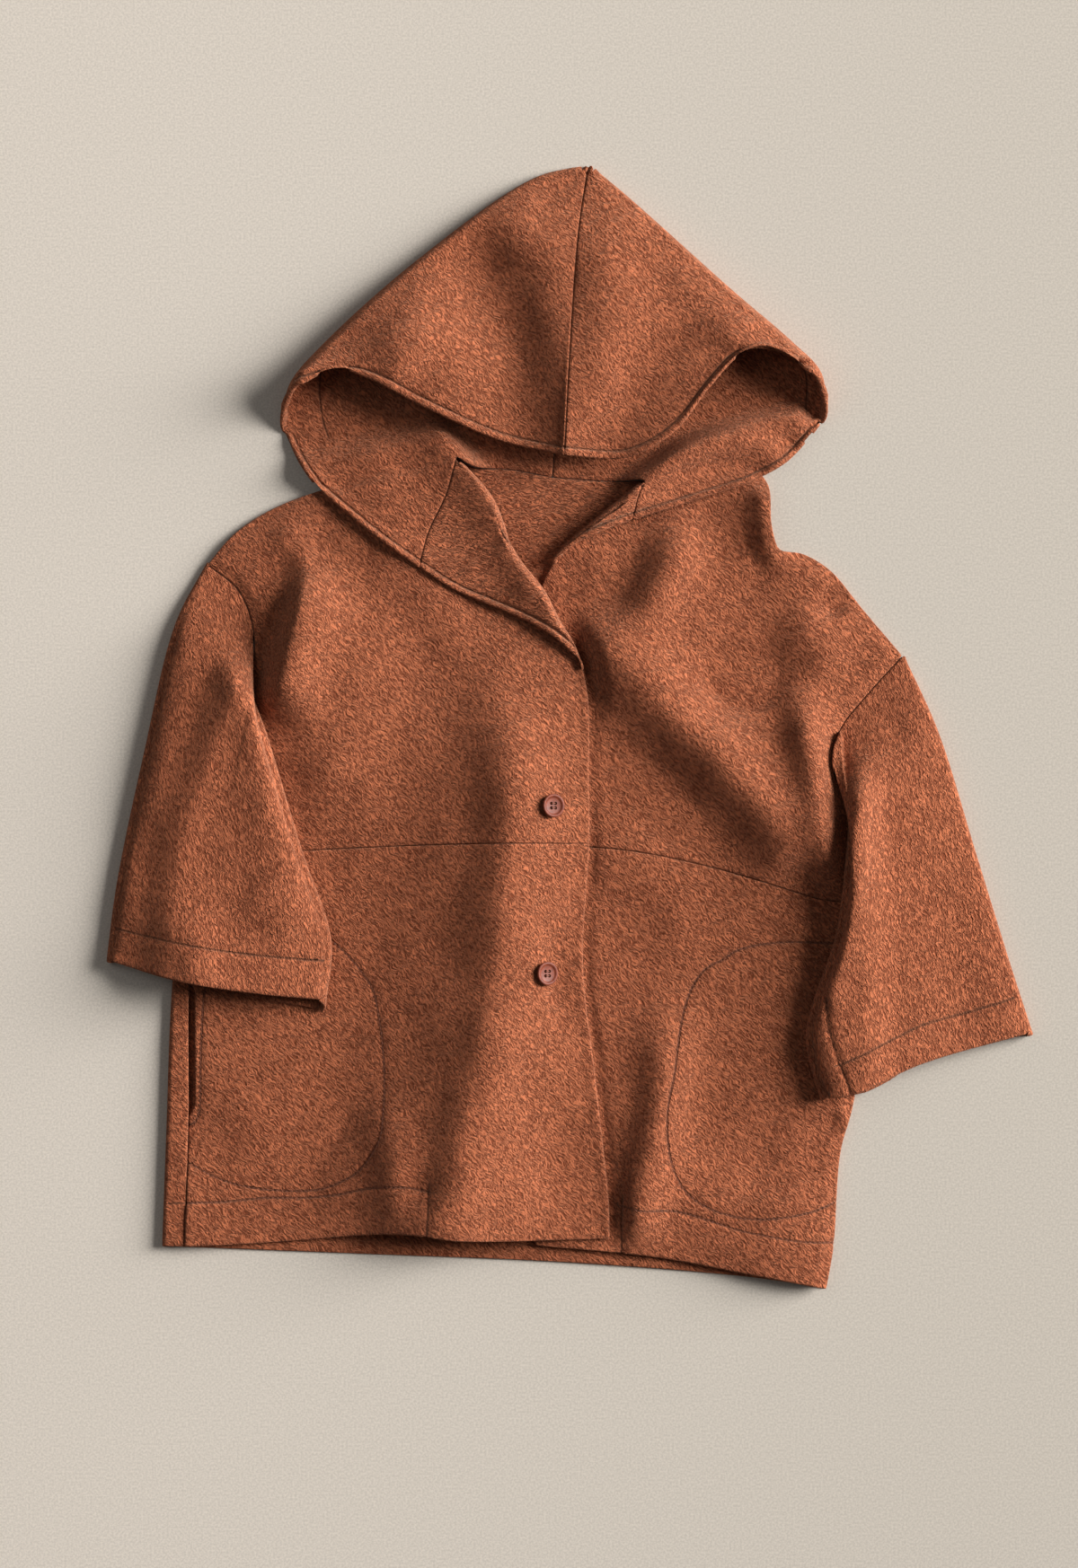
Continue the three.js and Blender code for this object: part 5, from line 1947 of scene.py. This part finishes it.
@dataclass
class HoodHalf:
    """Half of the hood: its front part lies turned over its back part.

    Args:
        relax: rounds that even out its nets.
        roundness: exponent of the arch of its folds, smaller is fuller.
        lift_rate: how soon the free edge's lift starts from its ends.
        brim_fullness: by how much each face of the turned-in brim moves out.
        flap_fullness: the same on the flap below.
        brim_groove: depth of the groove of the brim's stitches.
        free_from: least upward share of the outer face where the brim is turned in.
        facing_r: edge of the brim's facing inside the right half.
        facing_l: the same inside the left half.
    """

    shape: Shape
    finishes: Finishes
    left: bool
    relax: int = 500
    roundness: float = 0.6
    lift_rate: float = 4.0
    brim_fullness: float = 0.7
    flap_fullness: float = 0.8
    brim_groove: float = 1.3
    free_from: float = -0.2
    facing_r: Points = (
        (-187, 272), (-188, 250), (-184, 226), (-172, 200),
    )
    facing_l: Points = ((178, 276), (181, 262), (180, 240))

    def build(self) -> None:
        """Builds the half."""
        p, s = self.shape.pattern, self.shape
        side_name = "l" if self.left else "r"
        sign = 1 if self.left else -1
        collar = s.collar(self.left)
        folds = s.folds.hood_l if self.left else s.folds.hood_r
        seams = p.seams()
        rows = steps_of(seams["hood_fold_" + side_name])
        columns = steps_of(seams["brim_" + side_name])
        side = p.steps("hood_fold_" + side_name, rows)
        right = right_of(side)
        share = np.linspace(0, 1, rows + 1)

        def shifted(way: int, column: str) -> Array:
            """Line beside the fold: above it where way is 1, below it where way is -1."""
            slip = (section(share, "slip") * way)[:, None]
            back = section(share, column)[:, None]
            ahead = np.column_stack([-right[:, 1], right[:, 0]])
            return side + sign * right * back - ahead * slip

        above, below = shifted(1, "above"), shifted(-1, "below")
        brim = [*seams["brim_" + side_name], tuple(above[-1])]
        top = relaxed(
            net(
                along([p.peak, tuple(above[0])], columns), along(brim, columns),
                p.steps("centre_top", rows), above,
            ),
            self.relax,
        )
        top = inset(top, "near far first")
        gorge = p.line("gorge_seam_" + side_name)
        neck = p.line("neck_seam_" + side_name, NECK_CELL)
        neck_point = tuple(neck[0])
        flap_columns = steps_of([tuple(below[-1]), neck_point])
        bottom_edge = chain(along([tuple(below[-1]), neck_point], flap_columns), neck)
        near = along([tuple(below[0]), p.peak], len(bottom_edge) - 1)
        bottom = relaxed(net(near, bottom_edge, below, p.steps("centre_back", rows)), self.relax)
        bottom = inset(bottom, "far", flap_columns + 1)
        bottom = inset(bottom, "last")
        loop = [tuple(below[-1]), *seams["loop_brim_" + side_name]]
        flap = net(
            bottom[-1, : flap_columns + 1], p.steps("rest_brim_" + side_name, flap_columns),
            along(loop, len(gorge) - 1), gorge[::-1],
        )
        flap = inset(flap, "last far first")
        flap[0] = bottom[-1, : flap_columns + 1]

        under = level(bottom, collar(bottom), -1)
        facing = self.facing_l if self.left else self.facing_r
        Stitch(along(facing, 12), dent=1.0, width=1.8).press(under, "stitch_2")
        crown = under.mid[:, 0, 2] + section(share, "rise")
        u = np.linspace(0, 1, columns + 1)[None, :]
        z = mix(section(share, "centre")[:, None], crown[:, None], u * u)
        arch = np.sin(np.pi * u).clip(0) ** self.roundness
        z = z + (fold_height(folds, top) + drape(top)) * arch
        over = level(top, z, 1)
        bulge = (section(share, "above") + section(share, "below")) / 2
        arc = turn(over, under, -right * sign, bulge, HOOD_TURN_STEPS)
        main = beside(over, arc, under)
        self.mark_brim(main)
        low_flap = level(flap, collar(flap), -1)
        free = chain(along(loop, 30), p.line("rest_brim_" + side_name))
        distance = distance_to(free, flap)
        doubled(low_flap, distance, BRIM_STITCH, self.flap_fullness)
        lift = smooth(1 - distance / FLAP_LIFT_REACH)
        lift *= smooth(self.lift_rate * np.linspace(0, 1, len(flap)))[:, None]
        lift *= smooth(self.lift_rate * np.linspace(1, 0, flap.shape[1]))[None, :]
        low_flap.mid[..., 2] += FLAP_LIFT * lift
        low_flap.dent += groove(distance)
        marked = [distance - BRIM_STITCH, np.ones_like(distance), distance]
        low_flap.marks["stitch_1"] = np.dstack(marked)
        dress(
            "hood_" + side_name, Slot.WOOL, self.finishes.wool, [main, low_flap]
        )

    def mark_brim(self, grid: Grid) -> None:
        """Sinks the brim's stitches into a grid whose last row is the brim.

        Args:
            grid: the hood's folded part.
        """
        steps = np.linalg.norm(np.diff(grid.mid, axis=0), axis=2)[::-1]
        way = np.vstack([np.zeros(steps.shape[1]), np.cumsum(steps, axis=0)])[::-1]
        free = grid.out[..., 2] > self.free_from
        doubled(grid, np.where(free, way, FAR), BRIM_STITCH, self.brim_fullness)
        in_loop = 1 - np.abs(grid.out[..., 2])
        grid.dent -= in_loop * smooth((BRIM_STITCH + 1 - way) / 2)
        grid.dent += np.where(free, groove(way, self.brim_groove), 0)
        grid.marks["stitch_1"] = np.dstack([way - BRIM_STITCH, free * 1.0, way])


POCKET_BAGS = {
    "pocket_bag_r": (
        (-276, -150), (-200, -152), (-168, -171), (-146, -200), (-139, -260), (-150, -325),
        (-190, -350), (-250, -347), (-276, -335),
    ),
    "pocket_bag_l": (
        (190, -162), (140, -165), (105, -182), (87, -215), (75, -300), (88, -350), (130, -371),
        (160, -371), (184, -362), (192, -300),
    ),
}


@dataclass
class PocketBag:
    """A pocket bag between the front and the back.

    Args:
        steps: steps round it.
        rings: rings from its outline to its middle.
        middle: size of the innermost ring, as a share of the outline.
        wave: height of its slight waves.
        wave_length: length of the waves over 2 pi, across and up the coat.
        thinner: by how much each face stays inside the bag's wall.
    """

    finishes: Finishes
    name: str
    outline: Points
    steps: int = 96
    rings: int = 10
    middle: float = 0.04
    wave: float = 0.12
    wave_length: tuple[float, float] = (9.0, 11.0)
    thinner: float = 0.15

    def build(self) -> None:
        """Builds the bag as a net of rings round its middle."""
        closed = along([*self.outline, self.outline[0]], self.steps)[:-1]
        centre = closed.mean(axis=0)
        share = np.linspace(1, self.middle, self.rings)[:, None, None]
        points = centre + (closed - centre)[None] * share
        grid = level(points, np.full(points.shape[:2], BAG_Z + BAG_WALL / 2), 1)
        grid.mid[..., 2] += self.wave * np.sin(points / self.wave_length).prod(axis=-1)
        dress(
            self.name, Slot.INSIDE, self.finishes.inside, [grid],
            ring=True, half=BAG_WALL / 2 - self.thinner, flat=tuple(np.ptp(closed, axis=0) * MM),
        )


BUTTONS = {"button_upper": (-12, -59.4), "button_lower": (-16.7, -186)}


@dataclass
class Button:
    """A four-hole button with a raised rim, tied down with thread.

    Args:
        rim: height of its rim.
        dish: height of the flat face inside the rim.
        hole: radius of a hole.
        spread: distance of the holes from the middle.
        seat: height of its underside above the cloth.
        cutter: lowest and highest point of what cuts a hole.
        crisp: angle in degrees above which an edge stays sharp.
        thread: radius of a bar of thread.
        thread_sides: sides of the thread.
        shank: radius of the thread's shank.
    """

    shape: Shape
    finishes: Finishes
    name: str
    place: tuple[float, float]
    radius: float = 9.0
    rim: float = 3.3
    dish: float = 2.3
    hole: float = 1.25
    spread: float = 2.4
    seat: float = 1.3
    holes: int = 4
    sides: int = 64
    hole_sides: int = 20
    cutter: tuple[float, float] = (-2.0, 6.0)
    crisp: float = 40.0
    thread: float = 0.32
    thread_sides: int = 8
    shank: float = 1.5

    def profile(self) -> Array:
        """Outline from the middle below, round the rim, to the middle above.

        Returns:
            Radius and height of each point.
        """
        r, rim, dish = self.radius, self.rim, self.dish
        return np.array([
            (0, 0), (r * 0.45, 0.05), (r * 0.75, 0.4), (r - 1, 1.0), (r - 0.25, 1.6), (r, 2.1),
            (r - 0.1, rim - 0.5), (r - 0.5, rim - 0.12), (r - 1.1, rim), (r - 1.8, rim - 0.1),
            (r - 2.3, rim - 0.45), (r - 2.8, dish + 0.15), (r - 3.4, dish), (0, dish - 0.15),
        ])

    def turned(self) -> bpy.types.Object:
        """Turns the outline round its axis.

        Returns:
            The button without its holes.
        """
        profile = self.profile()
        turns = np.arange(self.sides) * 2 * math.pi / self.sides
        vertices = [(0.0, 0.0, profile[0, 1])]
        for r, z in profile[1:-1]:
            vertices += [(r * math.cos(a), r * math.sin(a), z) for a in turns]
        vertices.append((0.0, 0.0, profile[-1, 1]))
        faces = []
        rows = len(profile) - 2
        for k in range(self.sides):
            after = (k + 1) % self.sides
            faces.append((0, 1 + after, 1 + k))
            for row in range(rows - 1):
                a, b = 1 + row * self.sides, 1 + (row + 1) * self.sides
                faces.append((a + k, a + after, b + after, b + k))
            last = 1 + (rows - 1) * self.sides
            faces.append((last + k, last + after, len(vertices) - 1))
        return self.seated(self.name + "_resin", np.array(vertices), faces)

    def drill(self, body: bpy.types.Object) -> None:
        """Cuts the holes.

        Args:
            body: the button.
        """
        cutters = []
        n = self.hole_sides
        ring = np.arange(n) * 2 * math.pi / n
        for k in range(self.holes):
            angle = 2 * math.pi * (k + 0.5) / self.holes
            x = self.spread * math.cos(angle) + self.hole * np.cos(ring)
            y = self.spread * math.sin(angle) + self.hole * np.sin(ring)
            points = np.vstack([np.column_stack([x, y, np.full(n, z)]) for z in self.cutter])
            cutters.append(self.seated("cutter", points, tube_faces(0, 2, n)))
        for cutter in cutters:
            cut = body.modifiers.new("hole", "BOOLEAN")
            cut.object = cutter
            cut.operation = "DIFFERENCE"
        graph = bpy.context.evaluated_depsgraph_get()
        mesh = bpy.data.meshes.new_from_object(body.evaluated_get(graph))
        body.modifiers.clear()
        body.data = mesh
        for cutter in cutters:
            bpy.data.objects.remove(cutter)

    def build(self) -> None:
        """Builds the button and its thread."""
        body = self.turned()
        self.drill(body)
        mesh = body.data
        mesh.shade_smooth()
        mesh.set_sharp_from_angle(angle=math.radians(self.crisp))
        mesh.materials.clear()
        mesh.materials.append(self.finishes.resin)
        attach(body, "root")
        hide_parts(self.name)
        self.tie()
        LOG.info("%s: %d faces", body.name, len(mesh.polygons))

    def seated(self, name: str, points: Array, faces: list[tuple]) -> bpy.types.Object:
        """Makes an object from points in the button's own frame, tilted and set on the front.

        Args:
            name: its name.
            points: its vertices.
            faces: vertex numbers of each face.

        Returns:
            The new object.
        """
        x, y = self.place
        r = self.radius
        spots = np.array([(x, y), (x - r, y), (x + r, y), (x, y - r), (x, y + r)], float)
        middle, left, right, low, high = self.shape.laid_r(spots)
        across, up = (right - left) / (2 * r), (high - low) / (2 * r)
        face = Vector((-across, -up, 1.0)).normalized()
        tilt = np.array(Vector((0.0, 0.0, 1.0)).rotation_difference(face).to_matrix())
        base = max(middle, (left + right) / 2, (low + high) / 2) + HALF + self.seat
        return new_object(name, points @ tilt.T + [x, y, base], faces)

    def tie(self) -> None:
        """Builds the thread: two bars over the holes and the shank below them."""
        h, dish = self.spread * math.sqrt(0.5), self.dish
        bar = [
            (-h, dish - 2.6), (-h, dish - 0.3), (-h * 0.7, dish + 0.2),
            (h * 0.7, dish + 0.2), (h, dish - 0.3), (h, dish - 2.6),
        ]
        tubes = [([(x, y, z) for x, z in bar], self.thread) for y in (-h, h)]
        tubes.append(([(0.0, 0.0, -1.2), (0.0, 0.0, 0.3)], self.shank))
        vertices, faces = [], []
        for spots, radius in tubes:
            faces += tube_faces(len(vertices), len(spots), self.thread_sides)
            vertices += self.tube(spots, radius)
        thread = self.seated(self.name + "_thread", np.array(vertices), faces)
        thread.data.shade_smooth()
        thread.data.materials.append(self.finishes.thread)
        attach(thread, "root")

    def tube(self, spots: list[tuple], radius: float) -> list[Array]:
        """Rings of a round tube that bends in the XZ plane.

        Args:
            spots: its centre points.
            radius: its radius.

        Returns:
            Its vertices, ring by ring.
        """
        turns = np.arange(self.thread_sides)[:, None] * 2 * math.pi / self.thread_sides
        across_bend = np.array([0.0, 1.0, 0.0])
        vertices = []
        for k, spot in enumerate(spots):
            ahead = np.subtract(spots[min(len(spots) - 1, k + 1)], spots[max(0, k - 1)])
            side = np.cross(ahead / np.linalg.norm(ahead), across_bend)
            ring = np.array(spot) + radius * (np.cos(turns) * side + np.sin(turns) * across_bend)
            vertices += list(ring)
        return vertices


# Studio


@dataclass(frozen=True)
class Lamp:
    """A tall lamp that looks at the coat.

    Args:
        name: its name.
        place: where it hangs, in metres.
        width: its width in metres.
        power: its power in watts.
        colour: its colour.
        tall: its height as a share of its width.
    """

    name: str
    place: tuple[float, float, float]
    width: float
    power: float
    colour: tuple[float, float, float]
    tall: float = 1.4

    def hang(self) -> None:
        """Hangs the lamp."""
        lamp = bpy.data.lights.new(self.name, "AREA")
        lamp.shape = "RECTANGLE"
        lamp.size = self.width
        lamp.size_y = self.width * self.tall
        lamp.energy = self.power
        lamp.color = self.colour
        hung = bpy.data.objects.new(self.name, lamp)
        hung.location = self.place
        hung.rotation_mode = "QUATERNION"
        hung.rotation_quaternion = (-Vector(self.place)).to_track_quat("-Z", "Y")
        bpy.context.scene.collection.objects.link(hung)


@dataclass(frozen=True)
class Studio:
    """Floor, lights and camera, in metres.

    Args:
        picture_height: height of floor that the picture shows.
        centre: middle of the picture.
        lens: focal length in millimetres.
        sensor: width of the sensor in millimetres.
        floor_half: half the floor's width.
        grain_dark: the floor's darker colour.
        grain_light: its lighter colour.
        painted_light_left: what its colour is multiplied by at the left, painted light.
        painted_shade_right: the same at the right, painted shade.
        painted_light_reach: distance from the middle at which the painted light and shade are full.
        sky: colour of the light from all round.
        sky_strength: its strength.
        lamps: the lamps.
    """

    picture_height: float = 1.1873
    centre: tuple[float, float] = (-0.023, -0.043)
    lens: float = 180.0
    sensor: float = 36.0
    floor_half: float = 6.0
    grain_dark: tuple = (0.505, 0.463, 0.412, 1)
    grain_light: tuple = (0.63, 0.58, 0.517, 1)
    painted_light_left: tuple = (1.1, 1.1, 1.11, 1)
    painted_shade_right: tuple = (0.88, 0.885, 0.885, 1)
    painted_light_reach: float = 0.6
    sky: tuple = (0.95, 0.93, 0.9, 1)
    sky_strength: float = 0.095
    lamps: tuple[Lamp, ...] = (
        Lamp("key", (12.2, 3.5, 4.7), 6.6, 5700.0, (1.0, 0.97, 0.93)),
        Lamp("fill", (-2.4, 1.4, 3.0), 2.4, 18.0, (1.0, 0.98, 0.96)),
    )

    def floor(self) -> None:
        """Makes the floor."""
        mesh = bpy.data.meshes.new("floor")
        r = self.floor_half
        mesh.from_pydata([(-r, -r, 0), (r, -r, 0), (r, r, 0), (-r, r, 0)], [], [(0, 1, 2, 3)])
        floor = bpy.data.objects.new("floor", mesh)
        bpy.context.scene.collection.objects.link(floor)
        material, g, shader = new_material("paper")
        place = g.add("ShaderNodeTexCoord").outputs["Object"]
        grain = g.add("ShaderNodeTexNoise", Vector=place, Scale=620.0, Detail=2.0, Roughness=0.7)
        colour = g.blend(g.span(grain.outputs["Fac"], 0.3, 0.7), self.grain_dark, self.grain_light)
        # Painted light and shade: the floor's colour is lighter at the left and darker at the right.
        across = g.add("ShaderNodeSeparateXYZ", Vector=place).outputs["X"]
        side = g.span(across, -self.painted_light_reach, self.painted_light_reach)
        shade = g.blend(side, self.painted_light_left, self.painted_shade_right)
        painted_lit_colour = g.add("ShaderNodeVectorMath", {"operation": "MULTIPLY"}, i0=colour, i1=shade)
        g.fill(shader, {
            "Base Color": painted_lit_colour.outputs[0], "Roughness": 0.95, "Specular IOR Level": 0.1,
        })
        mesh.materials.append(material)

    def build(self) -> None:
        """Sets the stage."""
        self.floor()
        for lamp in self.lamps:
            lamp.hang()
        scene = bpy.context.scene
        scene.world = bpy.data.worlds.new("studio")
        scene.world.use_nodes = True
        g = Graph(scene.world.node_tree)
        g.fill(g.tree.nodes["Background"], {"Color": self.sky, "Strength": self.sky_strength})
        scene.view_settings.view_transform = "Standard"
        camera = bpy.data.cameras.new("camera")
        camera.lens = self.lens
        camera.sensor_width = self.sensor
        camera.clip_end = 50.0
        eye = bpy.data.objects.new("camera", camera)
        eye.location = (*self.centre, self.picture_height * self.lens / self.sensor)
        scene.collection.objects.link(eye)
        scene.camera = eye


def main() -> None:
    """Builds the coat piece by piece, then its studio."""
    logging.basicConfig(level=logging.INFO, format="%(name)s %(message)s")
    finishes = make_finishes()
    shape = Shape(Pattern(), Folds())
    Back(shape, finishes).build()
    for name, outline in POCKET_BAGS.items():
        PocketBag(finishes, name, outline).build()
    Fronts(shape, finishes, Sewing(finishes.thread)).build()
    for left, cut in ((False, SLEEVE_R), (True, SLEEVE_L)):
        Sleeve(shape, finishes, left, cut).build()
    for left in (False, True):
        HoodHalf(shape, finishes, left).build()
    for name, place in BUTTONS.items():
        Button(shape, finishes, name, place).build()
    Studio().build()
    LOG.info("all pieces made")


if __name__ == "__main__":
    main()
